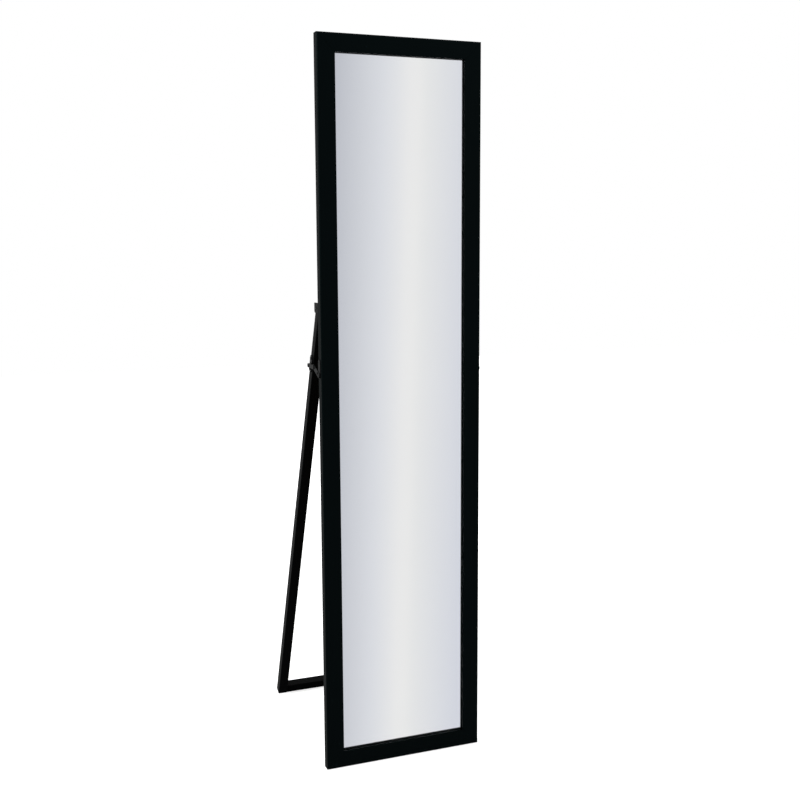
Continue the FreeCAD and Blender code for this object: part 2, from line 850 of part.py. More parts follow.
def make_ring(label, blank, side, inner, outer):
    """A piece with a hole for the hinge bolt."""
    margin = size.bolt_end
    radius = size.hinge_bolt_radius + size.seat_clearance
    axis = (size.hinge_depth, size.hinge_height)
    hole = rod(label + "_hole", radius, (inner - margin, outer + margin), side, axis)
    ring = document.addObject("Part::Cut", label)
    ring.Label = label
    ring.Base = blank
    ring.Tool = hole
    seat_on_mirror(ring)


def make_hinge_washer(name, side):
    label = "hinge_washer_" + name
    outer = size.leg_inner - size.leg_inset
    inner = outer - size.washer_thickness
    axis = (size.hinge_depth, size.hinge_height)
    blank = rod(label + "_blank", size.washer_radius, (inner, outer), side, axis)
    make_ring(label, blank, side, inner, outer)


def make_hinge_nut(name, side):
    label = "hinge_nut_" + name
    outer = size.leg_inner - size.leg_inset - size.washer_thickness
    inner = outer - size.nut_height
    blank = document.addObject("Part::Prism", label + "_blank")
    blank.Polygon = NUT_SIDES
    across = FreeCAD.Rotation(ALONG_Y, QUARTER_TURN)
    blank.Placement = FreeCAD.Placement(FreeCAD.Vector(0, 0, 0), across)
    bind(blank, "Circumradius", size.nut_radius)
    bind(blank, "Height", size.nut_height)
    bind(blank, "Placement.Base.x", inner if side > 0 else -outer)
    bind(blank, "Placement.Base.y", size.hinge_depth)
    bind(blank, "Placement.Base.z", size.hinge_height)
    make_ring(label, blank, side, inner, outer)


# ---------------------------------------------------------------- the stand


def dowel_places():
    """Where the two dowels at each end of the cross bar lie, in the stand's frame."""
    height = size.cross_bar_height / 2 - size.leg_length
    half = size.dowel_spacing / 2
    return [(-half, height), (half, height)]


def leg_screw_heights():
    middle = size.leg_plate_lift - size.leg_rivet_drop
    half = size.leg_screw_pitch / 2
    return [middle - half, middle + half]


def make_leg(name, side):
    """A straight leg, rounded at the top where it turns and cut square at the foot."""
    body = new_body("stand_leg_" + name)
    half = size.leg_depth / 2
    foot = -size.leg_length
    outline = new_sketch(body, "YZ_Plane", "outline", to_side(side, size.leg_middle))
    draw_box(outline, -half, half, foot, 0)
    pad(body, outline, size.leg_width, both_ways=True)
    top = new_sketch(body, "YZ_Plane", "top", to_side(side, size.leg_middle))
    draw_circle(top, 0, 0, half)
    pad(body, top, size.leg_width, both_ways=True)
    fillet(body, size.leg_rounding, lambda p: close_to(abs(p.y), half) and not close_to(p.z, foot))
    bore = new_sketch(body, "YZ_Plane", "bolt_hole")
    draw_circle(bore, 0, 0, size.hinge_bolt_radius + size.running_clearance)
    pocket(body, bore)
    dowels = new_sketch(body, "YZ_Plane", "dowel_holes", to_side(side, size.leg_inner))
    for y, z in dowel_places():
        draw_circle(dowels, y, z, size.dowel_radius + size.seat_clearance)
    pocket(body, dowels, size.dowel_in_leg + size.dowel_end_gap, reversed_way=side > 0)
    pilots = new_sketch(body, "YZ_Plane", "plate_pilots", to_side(side, size.leg_outer))
    for z in leg_screw_heights():
        draw_circle(pilots, 0, z, size.screw_shank_radius + size.seat_clearance)
    draw_circle(pilots, 0, -size.leg_rivet_drop, size.leg_rivet_radius + size.seat_clearance)
    pilot_depth = size.leg_screw_length - size.leg_plate_thickness + size.hole_end_gap
    pocket(body, pilots, pilot_depth, reversed_way=side < 0)
    seat_on_stand(body)


def make_cross_bar():
    """The bar between the feet, with its lower face flush with the legs' ends."""
    body = new_body("stand_cross_bar")
    half = size.leg_depth / 2
    low = -size.leg_length
    outline = new_sketch(body, "YZ_Plane", "outline")
    draw_box(outline, -half, half, low, low + size.cross_bar_height)
    pad(body, outline, size.leg_inner * 2, both_ways=True)
    fillet(body, size.leg_rounding, lambda p: close_to(abs(p.y), half) and close_to(p.x, 0))
    for name, side in SIDES.items():
        dowels = new_sketch(body, "YZ_Plane", "dowel_holes_" + name, to_side(side, size.leg_inner))
        for y, z in dowel_places():
            draw_circle(dowels, y, z, size.dowel_radius + size.seat_clearance)
        depth = size.dowel_length - size.dowel_in_leg + size.dowel_end_gap
        pocket(body, dowels, depth, reversed_way=side < 0)
    seat_on_stand(body)


def make_dowels():
    """Four wooden dowels, two through each joint of the cross bar."""
    body = new_body("cross_bar_dowels")
    for name, side in SIDES.items():
        outer = to_side(side, size.leg_inner + size.dowel_in_leg)
        outline = new_sketch(body, "YZ_Plane", "outline_" + name, outer)
        for y, z in dowel_places():
            draw_circle(outline, y, z, size.dowel_radius)
        pad(body, outline, size.dowel_length, reversed_way=side > 0)
    outer_end = size.leg_inner + size.dowel_in_leg
    ends = (outer_end, outer_end - size.dowel_length)
    chamfer(body, size.dowel_chamfer, lambda p: any(close_to(abs(p.x), end) for end in ends))
    seat_on_stand(body)


# ---------------------------------------------------------------- the folding stays


def make_frame_plate(name, side):
    """The stay's plate on the frame's side, with two sunk screws above its rivet."""
    body = new_body("stay_frame_plate_" + name)
    radius = size.frame_plate_width / 2
    low = size.frame_rivet_height
    high = low + size.frame_plate_length - size.frame_plate_width
    face = to_side(side, size.half_width)
    outline = new_sketch(body, "YZ_Plane", "outline", face)
    draw_strap(outline, (size.frame_rivet_depth, low), (size.frame_rivet_depth, high), radius)
    draw_circle(outline, size.frame_rivet_depth, low, size.frame_rivet_radius + size.seat_clearance)
    for height in frame_plate_screw_heights():
        draw_circle(outline, size.frame_rivet_depth, height, size.screw_hole_radius)
    pad(body, outline, size.frame_plate_thickness, reversed_way=side < 0)
    front = to_side(side, size.half_width + size.frame_plate_thickness)
    rims = [
        rim_test("X", front, size.frame_rivet_depth, height, size.screw_hole_radius)
        for height in frame_plate_screw_heights()
    ]
    chamfer(body, size.screw_sink, lambda p: any(on_rim(p) for on_rim in rims))
    seat_on_mirror(body)


def make_leg_plate(name, side):
    """The stay's plate on the leg's outer side, with a screw near each end."""
    body = new_body("stay_leg_plate_" + name)
    radius = size.leg_plate_width / 2
    middle = size.leg_plate_lift - size.leg_rivet_drop
    half = (size.leg_plate_length - size.leg_plate_width) / 2
    face = to_side(side, size.leg_outer)
    outline = new_sketch(body, "YZ_Plane", "outline", face)
    draw_strap(outline, (0, middle - half), (0, middle + half), radius)
    draw_circle(outline, 0, -size.leg_rivet_drop, size.leg_rivet_radius + size.seat_clearance)
    for height in leg_screw_heights():
        draw_circle(outline, 0, height, size.screw_hole_radius)
    pad(body, outline, size.leg_plate_thickness, reversed_way=side < 0)
    front = to_side(side, size.leg_outer + size.leg_plate_thickness)
    chamfer(body, size.plate_edge, lambda p: close_to(p.x, front) and close_to(abs(p.y), radius))
    seat_on_stand(body)


def make_frame_rivet(name, side):
    """The rivet in the frame's plate. The front strap's slot rides on it, under its head."""
    label = "stay_frame_rivet_" + name
    inner = size.half_width - size.plate_screw_length / 2
    under_head = size.half_width + size.front_strap_outer + size.strap_gap
    top = under_head + size.rivet_head_height
    axis = (size.frame_rivet_depth, size.frame_rivet_height)
    shank = rod(label + "_shank", size.frame_rivet_radius, (inner, under_head), side, axis)
    radius = size.frame_rivet_head_radius
    head_span = (under_head, top)
    rounding = size.rivet_head_rounding
    head = rounded_head(label + "_head", radius, head_span, rounding, side, axis)
    seat_on_mirror(fused(label, [shank, head]))


def make_leg_rivet(name, side):
    """The rivet in the leg's plate, with a collar that carries the rear strap level."""
    label = "stay_leg_rivet_" + name
    inner = size.leg_outer - size.plate_screw_length / 2
    collar_start = size.half_width + size.leg_plate_face
    collar_end = size.half_width + size.rear_strap_inner - size.strap_gap
    under_head = size.half_width + size.rear_strap_outer + size.strap_gap
    top = under_head + size.rivet_head_height
    axis = (0, -size.leg_rivet_drop)
    shank = rod(label + "_shank", size.leg_rivet_radius, (inner, under_head), side, axis)
    radius = size.rivet_head_radius
    collar = rod(label + "_collar", radius, (collar_start, collar_end), side, axis)
    head_span = (under_head, top)
    rounding = size.rivet_head_rounding
    head = rounded_head(label + "_head", radius, head_span, rounding, side, axis)
    seat_on_stand(fused(label, [shank, collar, head]))


def make_front_strap(name, side):
    """The strap from the frame's rivet, in its slot, to the knee. A tab stops the knee."""
    label = "stay_front_strap_" + name
    body = new_body(label + "_flat")
    radius = size.front_strap_width / 2
    inner = size.half_width + size.front_strap_inner
    outline = new_sketch(body, "YZ_Plane", "outline", to_side(side, inner))
    draw_strap(outline, (0, 0), (size.strap_length, 0), radius)
    slot_radius = size.frame_rivet_radius + size.slot_side_play
    draw_strap(outline, (0, 0), (size.slot_travel, 0), slot_radius)
    knee_radius = size.knee_rivet_radius + size.running_clearance
    draw_circle(outline, size.strap_length, 0, knee_radius)
    pad(body, outline, size.strap_thickness, reversed_way=side < 0)
    knee_rim = rim_test("X", to_side(side, inner), size.strap_length, 0, knee_radius)
    chamfer(body, size.knee_countersink, knee_rim)
    seat_on_front_strap(fused(label, [body, make_stop_tab(label, side)]))


def make_stop_tab(label, side):
    """The bent tab that the rear strap's upper edge meets when the stay is open."""
    # the tab lies along the rear strap, which leaves the knee bent down by twice the knee's tilt
    tab = document.addObject("Part::Box", label + "_tab")
    tab.Placement = SLIGHTLY_TURNED
    bend = -2 * size.knee_tilt
    inner = size.half_width + size.front_strap_inner
    outer = size.half_width + size.rear_strap_outer
    cosine, sine = cosine_and_sine(bend)
    along = -size.stop_tab_length / 2
    above = size.rear_strap_width / 2 + size.stop_tab_gap
    bind(tab, "Length", outer - inner)
    bind(tab, "Width", size.stop_tab_length)
    bind(tab, "Height", size.stop_tab_thickness)
    bind(tab, "Placement.Base.x", inner if side > 0 else -outer)
    bind(tab, "Placement.Base.y", size.strap_length + along * cosine - above * sine)
    bind(tab, "Placement.Base.z", along * sine + above * cosine)
    bind(tab, "Placement.Rotation.Angle", bend)
    return tab


def make_rear_strap(name, side):
    """The strap from the knee to the leg's rivet."""
    body = new_body("stay_rear_strap_" + name)
    radius = size.rear_strap_width / 2
    inner = size.half_width + size.rear_strap_inner
    outline = new_sketch(body, "YZ_Plane", "outline", to_side(side, inner))
    draw_strap(outline, (0, 0), (size.strap_length, 0), radius)
    draw_circle(outline, 0, 0, size.knee_rivet_radius + size.seat_clearance)
    draw_circle(outline, size.strap_length, 0, size.leg_rivet_radius + size.running_clearance)
    pad(body, outline, size.strap_thickness, reversed_way=side < 0)
    outer = to_side(side, size.half_width + size.rear_strap_outer)
    chamfer(body, size.strap_edge, lambda p: close_to(p.x, outer) and close_to(abs(p.z), radius))
    seat_on_rear_strap(body)


def make_knee_rivet(name, side):
    """The rivet through both straps: a round head outside, a flush sunk end inside."""
    label = "stay_knee_rivet_" + name
    inner = size.half_width + size.front_strap_inner
    under_head = size.half_width + size.rear_strap_outer
    shank = rod(label + "_shank", size.knee_rivet_radius, (inner, under_head), side)
    head_span = (under_head, under_head + size.rivet_head_height)
    radius = size.rivet_head_radius
    head = rounded_head(label + "_head", radius, head_span, size.rivet_head_rounding, side)
    sunk_end = document.addObject("Part::Cone", label + "_sunk_end")
    turn = FreeCAD.Rotation(ALONG_Y, QUARTER_TURN * side)
    sunk_end.Placement = FreeCAD.Placement(FreeCAD.Vector(0, 0, 0), turn)
    bind(sunk_end, "Radius1", size.knee_rivet_radius + size.knee_countersink)
    bind(sunk_end, "Radius2", size.knee_rivet_radius)
    bind(sunk_end, "Height", size.knee_countersink)
    bind(sunk_end, "Placement.Base.x", to_side(side, inner))
    seat_on_rear_strap(fused(label, [shank, head, sunk_end]))


# ---------------------------------------------------------------- the screws in their places


def make_screw_groups():
    bracket_screw = make_screw("bracket_screw", size.bracket_screw_length, "sunk")
    plate_screw = make_screw("plate_screw", size.plate_screw_length, "sunk")
    leg_screw = make_screw("leg_screw", size.leg_screw_length, "pan")
    for name, side in SIDES.items():
        x = to_side(side, size.leg_middle)
        y = size.frame_depth + size.bracket_base
        places = [(x, y, height) for height in bracket_screw_heights()]
        label = "hinge_bracket_screws_" + name
        seat_on_mirror(place_screws(label, bracket_screw, places, ALONG_X, -QUARTER_TURN))
        x = to_side(side, size.half_width + size.frame_plate_thickness)
        places = [(x, size.frame_rivet_depth, height) for height in frame_plate_screw_heights()]
        label = "stay_frame_plate_screws_" + name
        seat_on_mirror(place_screws(label, plate_screw, places, ALONG_Y, QUARTER_TURN * side))
        x = to_side(side, size.leg_outer + size.leg_plate_thickness)
        places = [(x, 0, height) for height in leg_screw_heights()]
        label = "stay_leg_plate_screws_" + name
        seat_on_stand(place_screws(label, leg_screw, places, ALONG_Y, QUARTER_TURN * side))


# ---------------------------------------------------------------- making and writing


def check_document():
    """Stop if a feature failed or a piece has no valid shape."""
    for item in document.Objects:
        if "Invalid" in item.State or "Error" in item.State:
            raise RuntimeError("%s failed: %s" % (item.Name, item.State))
    for piece in sub_parts:
        if piece.Shape.isNull() or not piece.Shape.isValid():
            raise RuntimeError("%s has no valid shape" % piece.Label)


def write_parts():
    os.makedirs("parts", exist_ok=True)
    for piece in sub_parts:
        shape = piece.Shape
        shape.exportStep("parts/%s.step" % piece.Label)
        box = shape.BoundBox
        print("%-32s %2d solid(s) %9.1f mm3" % (piece.Label, len(shape.Solids), shape.Volume))
        print("    x %.1f to %.1f" % (box.XMin, box.XMax), end="")
        print("    y %.1f to %.1f" % (box.YMin, box.YMax), end="")
        print("    z %.1f to %.1f" % (box.ZMin, box.ZMax))


fill_sheet()
for side_name, side_sign in SIDES.items():
    make_stile(side_name, side_sign)
for rail_end in ENDS:
    make_rail(rail_end)
make_corner_nails()
make_glass()
make_back_panel()
make_panel_points()
make_cross_bar()
make_dowels()
for side_name, side_sign in SIDES.items():
    make_hinge_bracket(side_name, side_sign)
    make_hinge_bolt(side_name, side_sign)
    make_hinge_washer(side_name, side_sign)
    make_hinge_nut(side_name, side_sign)
    make_leg(side_name, side_sign)
    make_frame_plate(side_name, side_sign)
    make_frame_rivet(side_name, side_sign)
    make_leg_plate(side_name, side_sign)
    make_leg_rivet(side_name, side_sign)
    make_front_strap(side_name, side_sign)
    make_rear_strap(side_name, side_sign)
    make_knee_rivet(side_name, side_sign)
make_screw_groups()
document.recompute()
check_document()
write_parts()
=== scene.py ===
# %% [markdown]
# # A free-standing floor mirror
#
# A tall narrow mirror in a plain black moulding stands on the floor by itself. A pair of legs
# joined by a cross bar hangs from two brackets behind it, and a small folding stay on each side
# holds the legs open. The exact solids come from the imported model. This lesson gives them their
# paint, glass, board and metal, models the pieces that need softer edges, and lights the lot.

# %% Load the fixed frame
import json
import math

import bmesh
import bpy
from mathutils import Matrix, Vector

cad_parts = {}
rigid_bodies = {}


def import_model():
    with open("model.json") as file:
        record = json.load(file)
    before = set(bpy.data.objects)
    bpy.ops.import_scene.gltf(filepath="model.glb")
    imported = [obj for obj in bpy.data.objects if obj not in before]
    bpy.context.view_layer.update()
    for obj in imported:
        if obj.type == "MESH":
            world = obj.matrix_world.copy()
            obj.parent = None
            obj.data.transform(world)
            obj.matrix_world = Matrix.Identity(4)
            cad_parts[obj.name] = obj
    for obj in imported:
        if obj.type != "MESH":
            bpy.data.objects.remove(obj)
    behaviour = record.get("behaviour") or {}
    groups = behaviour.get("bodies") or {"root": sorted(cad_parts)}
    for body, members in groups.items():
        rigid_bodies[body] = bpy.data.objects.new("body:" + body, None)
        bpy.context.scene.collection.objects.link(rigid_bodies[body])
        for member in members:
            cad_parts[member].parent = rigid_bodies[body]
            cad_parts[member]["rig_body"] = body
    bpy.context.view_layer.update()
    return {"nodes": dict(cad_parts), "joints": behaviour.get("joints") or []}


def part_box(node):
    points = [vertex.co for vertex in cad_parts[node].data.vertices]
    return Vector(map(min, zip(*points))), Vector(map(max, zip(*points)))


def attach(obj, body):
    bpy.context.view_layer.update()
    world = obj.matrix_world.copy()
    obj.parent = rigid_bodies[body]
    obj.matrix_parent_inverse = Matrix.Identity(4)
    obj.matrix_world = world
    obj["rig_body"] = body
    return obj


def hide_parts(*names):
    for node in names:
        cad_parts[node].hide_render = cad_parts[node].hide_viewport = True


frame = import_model()
nodes = frame["nodes"]
bpy.ops.object.select_all(action="DESELECT")

# %% [markdown]
# ## Shader maths as plain sums
#
# A material is a small program. It could be drawn as boxes and wires, but its sums are easier to
# read as Python. `Signal` wraps one output of a node, and a sum on signals adds the Math nodes
# that work it out. `Recipe` adds every kind of node with one method.

# %% A signal that does sums


class Signal:
    """One output socket of a node. Arithmetic on it adds Math nodes."""

    def __init__(self, recipe, socket):
        self.recipe = recipe
        self.socket = socket

    def __add__(self, other):
        return self.recipe.maths("ADD", self, other)

    def __radd__(self, other):
        return self.recipe.maths("ADD", other, self)

    def __sub__(self, other):
        return self.recipe.maths("SUBTRACT", self, other)

    def __rsub__(self, other):
        return self.recipe.maths("SUBTRACT", other, self)

    def __mul__(self, other):
        return self.recipe.maths("MULTIPLY", self, other)

    def __rmul__(self, other):
        return self.recipe.maths("MULTIPLY", other, self)

    def __truediv__(self, other):
        return self.recipe.maths("DIVIDE", self, other)

    def __rtruediv__(self, other):
        return self.recipe.maths("DIVIDE", other, self)

    def __abs__(self):
        return self.recipe.maths("ABSOLUTE", self)


# %% A recipe that adds nodes


class Recipe:
    """A node tree, with one method that adds any node and wires it up."""

    def __init__(self, owner):
        owner.use_nodes = True
        self.tree = owner.node_tree
        self.tree.nodes.clear()

    def node(self, kind, settings=None, inputs=None, output=0):
        """Add a node, set its settings, feed its inputs and return one output as a signal."""
        item = self.tree.nodes.new("ShaderNode" + kind)
        for name, value in (settings or {}).items():
            if name == "stops":
                set_stops(item.color_ramp, value)
            else:
                setattr(item, name, value)
        for name, value in (inputs or {}).items():
            self.feed(pick(item.inputs, name), value)
        return Signal(self, pick(item.outputs, output) if item.outputs else None)

    def maths(self, operation, *values):
        """Add a Math node that works on one value or two."""
        return self.node("Math", {"operation": operation}, dict(enumerate(values)))

    def feed(self, socket, value):
        """Link a signal to a socket, or write a plain value into it."""
        if isinstance(value, Signal):
            self.tree.links.new(value.socket, socket)
            return
        if isinstance(value, tuple) and len(value) < len(socket.default_value):
            value = (*value, 1.0)
        socket.default_value = value


# %% Sockets and ramps


def pick(sockets, name):
    """The socket in use with this name, or at this place among those in use."""
    in_use = [socket for socket in sockets if socket.enabled]
    if isinstance(name, int):
        return in_use[name]
    return next(socket for socket in in_use if socket.name == name)


def set_stops(ramp, stops):
    """Give a colour ramp its stops: pairs of a place and a colour."""
    while len(ramp.elements) < len(stops):
        ramp.elements.new(1.0)
    for element, (place, colour) in zip(ramp.elements, stops):
        element.position = place
        element.color = (*colour, 1.0)


# %% [markdown]
# ## Where a pattern sits
#
# Grain runs along each length of wood. A pattern could be laid on with an unwrapped map, but
# straight timber needs none: it is enough to turn the pattern until it follows the piece. The
# mirror leans back by just over half a degree, and the legs slope by about twenty-one and a half
# degrees. A Mapping node turns the object's own coordinates until their third axis lies along
# the piece.

# %% Coordinates along a piece

LEAN = math.radians(0.6)
LEG_SLOPE = math.radians(21.45)
ALONG_MIRROR = (LEAN, 0.0, 0.0)
ALONG_LEG = (-LEG_SLOPE, 0.0, 0.0)
ALONG_WIDTH = (0.0, math.radians(90), 0.0)


def coordinates(recipe, turn, stretch=(1.0, 1.0, 1.0)):
    """The object's coordinates in metres, turned and then stretched."""
    place = recipe.node("TexCoord", output="Object")
    along = recipe.node("Mapping", inputs={"Vector": place, "Rotation": turn})
    return recipe.node("Mapping", inputs={"Vector": along, "Scale": stretch})


print("pattern turns:", ALONG_MIRROR, ALONG_LEG, ALONG_WIDTH)

# %% What every finish is made of


def noise(recipe, vector, scale, detail=3.0, roughness=0.55):
    """A cloudy pattern between nought and one."""
    inputs = {"Vector": vector, "Scale": scale, "Detail": detail, "Roughness": roughness}
    return recipe.node("TexNoise", inputs=inputs, output="Fac")


def shared(first, second, share):
    """Two patterns added up: this share of the first, and the rest of the second."""
    return first * share + second * (1 - share)


def blend_colours(recipe, factor, first, second):
    """From the first colour to the second as the factor goes from nought to one."""
    settings = {"data_type": "RGBA"}
    return recipe.node("Mix", settings, {"Factor": factor, "A": first, "B": second}, "Result")


def bump(recipe, height, strength, depth):
    """A relief that only bends the light. Its depth is in metres."""
    inputs = {"Height": height, "Strength": strength, "Distance": depth}
    return recipe.node("Bump", inputs=inputs)


def new_finish(name):
    """An empty material, and the recipe that fills it."""
    material = bpy.data.materials.new(name)
    print("finish:", name)
    return material, Recipe(material)


def fill(recipe, inputs):
    """Give the material its one shader, and wire that to the output."""
    shader = recipe.node("BsdfPrincipled", inputs=inputs)
    recipe.node("OutputMaterial", inputs={"Surface": shader})


# %% [markdown]
# ## Black satin paint on wood
#
# The moulding and the legs are wood under a thin black paint. One flat black would do from across
# a room, but from near by it looks like a hole in the picture. So the paint gets what painted
# wood shows: long streaks of grain press through it as a shallow bump, a finer noise makes its
# skin, and its colour and gloss drift a little. Black paint gives back light almost only as
# sheen, so the sheen is low. The moulding's black is cold. The stand's is neutral, with a little
# more sheen on the legs and less on the bar.

# %% Paint settings

GRAIN_STRETCH = (1.0, 1.0, 0.04)
GRAIN_SCALE = 420.0
SKIN_SCALE = 900.0
DRIFT_SCALE = 9.0
GRAIN_IN_RELIEF = 0.7
GRAIN_IN_COLOUR = 0.5
DRIFT_IN_GLOSS = 0.10
GRAIN_IN_GLOSS = 0.06
RELIEF_STRENGTH = 0.16
RELIEF_DEPTH = 0.0002
MOULDING_PAINT = {
    "dark": (0.0007, 0.0015, 0.0017),
    "light": (0.0014, 0.0026, 0.0028),
    "sheen": 0.03,
    "tint": (0.6, 1.0, 1.0),
    "roughness": 0.36,
}
STAND_PAINT = {
    "dark": (0.0009, 0.0010, 0.0011),
    "light": (0.0017, 0.0018, 0.0019),
    "sheen": 0.05,
    "tint": (1.0, 1.0, 1.0),
    "roughness": 0.40,
}
BAR_PAINT = {**STAND_PAINT, "sheen": 0.02}

# %% Black paint


def black_paint(name, turn, paint):
    """Black paint over wood grain that runs along the piece."""
    material, recipe = new_finish(name)
    grain = noise(recipe, coordinates(recipe, turn, GRAIN_STRETCH), GRAIN_SCALE, detail=4.0)
    skin_place = coordinates(recipe, turn)
    skin = noise(recipe, skin_place, SKIN_SCALE, detail=2.0)
    drift = noise(recipe, skin_place, DRIFT_SCALE, detail=2.0)
    shade = shared(grain, drift, GRAIN_IN_COLOUR)
    relief = shared(grain, skin, GRAIN_IN_RELIEF)
    fill(recipe, {
        "Base Color": blend_colours(recipe, shade, paint["dark"], paint["light"]),
        "Roughness": paint["roughness"] + drift * DRIFT_IN_GLOSS + grain * GRAIN_IN_GLOSS,
        "Specular IOR Level": paint["sheen"],
        "Specular Tint": paint["tint"],
        "Normal": bump(recipe, relief, RELIEF_STRENGTH, RELIEF_DEPTH),
    })
    return material


stile_paint = black_paint("black_paint_stile", ALONG_MIRROR, MOULDING_PAINT)
rail_paint = black_paint("black_paint_rail", ALONG_WIDTH, MOULDING_PAINT)
leg_paint = black_paint("black_paint_leg", ALONG_LEG, STAND_PAINT)
bar_paint = black_paint("black_paint_bar", ALONG_WIDTH, BAR_PAINT)

# %% [markdown]
# ## Glass and silver
#
# A mirror is a clear sheet with a thin coat of silver on its back. One smooth metal could stand
# for both, but its reflection would start at the front face, and the sheet would show no
# thickness. So the sheet takes two materials. The clear one is glass all through, very faintly
# green. The silver lies on the back face alone, and its reflection crosses the glass twice before
# it is seen.

# %% Clear glass

GLASS_CLEAR = (0.985, 1.0, 0.992)
GLASS_GREEN = (0.98, 1.0, 0.99)
RIPPLE_SCALE = 3.0
GLASS_BENDING = 1.5

clear_finish, recipe = new_finish("clear_glass")
ripple = noise(recipe, coordinates(recipe, ALONG_MIRROR), RIPPLE_SCALE, detail=1.0)
fill(recipe, {
    "Base Color": blend_colours(recipe, ripple, GLASS_CLEAR, GLASS_GREEN),
    "Transmission Weight": 1.0,
    "Roughness": 0.0,
    "IOR": GLASS_BENDING,
})

# %% Silver

SILVER_DULL = (0.945, 0.948, 0.946)
SILVER_BRIGHT = (0.965, 0.965, 0.962)
CLOUD_SCALE = 4.0

silver_finish, recipe = new_finish("silver_backing")
cloud = noise(recipe, coordinates(recipe, ALONG_MIRROR), CLOUD_SCALE)
fill(recipe, {
    "Base Color": blend_colours(recipe, cloud, SILVER_DULL, SILVER_BRIGHT),
    "Metallic": 1.0,
    "Roughness": 0.0,
})

# %% [markdown]
# ## Hardboard
#
# The panel behind the glass is brown hardboard. Its back keeps the print of the wire mesh it was
# pressed on, over matted fibres of lighter and darker brown. As shapes, the print and the fibres
# would take millions of faces, so they are a relief: two sets of bands, one across the other,
# make the grid, and a fine noise makes the fibres.

# %% Hardboard

FIBRE_DARK = (0.085, 0.045, 0.022)
FIBRE_LIGHT = (0.20, 0.115, 0.06)
FIBRE_SCALE = 240.0
PATCH_SCALE = 14.0
MESH_PITCH = 0.0022
BAND_PERIOD = math.pi / 10  # from one band to the next, in metres, at a scale of one
MESH_IN_RELIEF = 0.7

board_finish, recipe = new_finish("hardboard")
place = coordinates(recipe, ALONG_MIRROR)
fibres = noise(recipe, place, FIBRE_SCALE, detail=6.0, roughness=0.7)
patches = noise(recipe, place, PATCH_SCALE)
wires = []
for axis in ("X", "Z"):
    settings = {"wave_type": "BANDS", "bands_direction": axis}
    inputs = {"Vector": place, "Scale": BAND_PERIOD / MESH_PITCH, "Distortion": 0.0}
    wires.append(recipe.node("TexWave", settings, inputs, "Fac"))
mesh = wires[0] * wires[1]
shade = fibres * 0.6 + patches * 0.35 + mesh * 0.12
fill(recipe, {
    "Base Color": blend_colours(recipe, shade, FIBRE_DARK, FIBRE_LIGHT),
    "Roughness": 0.72 + fibres * 0.15,
    "Specular IOR Level": 0.25,
    "Normal": bump(recipe, shared(mesh, fibres, MESH_IN_RELIEF), 0.35, 0.0003),
})

# %% [markdown]
# ## Moulded plastic
#
# The hinge brackets are moulded black plastic with a fine leathery texture. Noise at this scale
# would look like dust. Leather is made of small rounded cells, so a cell pattern gives the
# relief, and noise only varies the colour and the gloss.

# %% Moulded plastic

PLASTIC_DARK = (0.005, 0.0052, 0.0052)
PLASTIC_LIGHT = (0.009, 0.0092, 0.0092)
CELL_SCALE = 1600.0
MOTTLE_SCALE = 60.0
DULL_SHEEN = 0.08
FINE_DEPTH = 0.0001

plastic_finish, recipe = new_finish("moulded_plastic")
place = coordinates(recipe, ALONG_MIRROR)
cells = {"Vector": place, "Scale": CELL_SCALE}
leather = recipe.node("TexVoronoi", inputs=cells, output="Distance")
mottle = noise(recipe, place, MOTTLE_SCALE)
fill(recipe, {
    "Base Color": blend_colours(recipe, mottle, PLASTIC_DARK, PLASTIC_LIGHT),
    "Roughness": 0.46 + mottle * 0.1,
    "Specular IOR Level": DULL_SHEEN,
    "Normal": bump(recipe, leather, 0.2, FINE_DEPTH),
})

# %% [markdown]
# ## Black steel
#
# The straps, plates, rivets and bolts are steel under a thin black coat. Bare steel would be a
# metallic shader, but what is seen here is the coat, so it is a dark colour that isn't metallic.
# A fine noise gives it the skin of sprayed paint, and a coarser one the places where hands have
# rubbed it.

# %% Black steel

COAT_DARK = (0.004, 0.0042, 0.0044)
COAT_LIGHT = (0.009, 0.0093, 0.0096)
PEEL_SCALE = 1400.0
RUBBED_SCALE = 130.0

steel_finish, recipe = new_finish("black_steel")
place = coordinates(recipe, ALONG_MIRROR)
peel = noise(recipe, place, PEEL_SCALE, detail=2.0)
rubbed = noise(recipe, place, RUBBED_SCALE, detail=5.0)
fill(recipe, {
    "Base Color": blend_colours(recipe, rubbed, COAT_DARK, COAT_LIGHT),
    "Roughness": 0.30 + rubbed * 0.16,
    "Specular IOR Level": DULL_SHEEN,
    "Normal": bump(recipe, peel, 0.12, FINE_DEPTH),
})

# %% [markdown]
# ## Zinc-plated steel
#
# Screws, washers, nuts and the small fixings are zinc plated. Plating is bare metal, so it takes
# a metallic shader. Polished evenly it would pass for chrome, and zinc is cloudy, so soft patches
# change both its grey and its gloss.

# %% Plated steel

ZINC_DARK = (0.34, 0.36, 0.39)
ZINC_LIGHT = (0.52, 0.53, 0.54)
ZINC_SCALE = 220.0

plated_finish, recipe = new_finish("plated_steel")
clouds = noise(recipe, coordinates(recipe, ALONG_MIRROR), ZINC_SCALE, detail=4.0)
fill(recipe, {
    "Base Color": blend_colours(recipe, clouds, ZINC_DARK, ZINC_LIGHT),
    "Metallic": 1.0,
    "Roughness": 0.28 + clouds * 0.2,
    "Normal": bump(recipe, clouds, 0.08, FINE_DEPTH),
})

# %% [markdown]
# ## Bare beech
#
# The four dowels in the cross bar's joints are bare beech, a pale wood with a short fine grain.
# They are hidden once the stand is glued, so this finish is simple: the streaked grain of the
# paint, finer, across the width and in two browns.

# %% Bare beech

BEECH_DARK = (0.42, 0.25, 0.12)
BEECH_LIGHT = (0.66, 0.46, 0.27)
BEECH_SCALE = 900.0

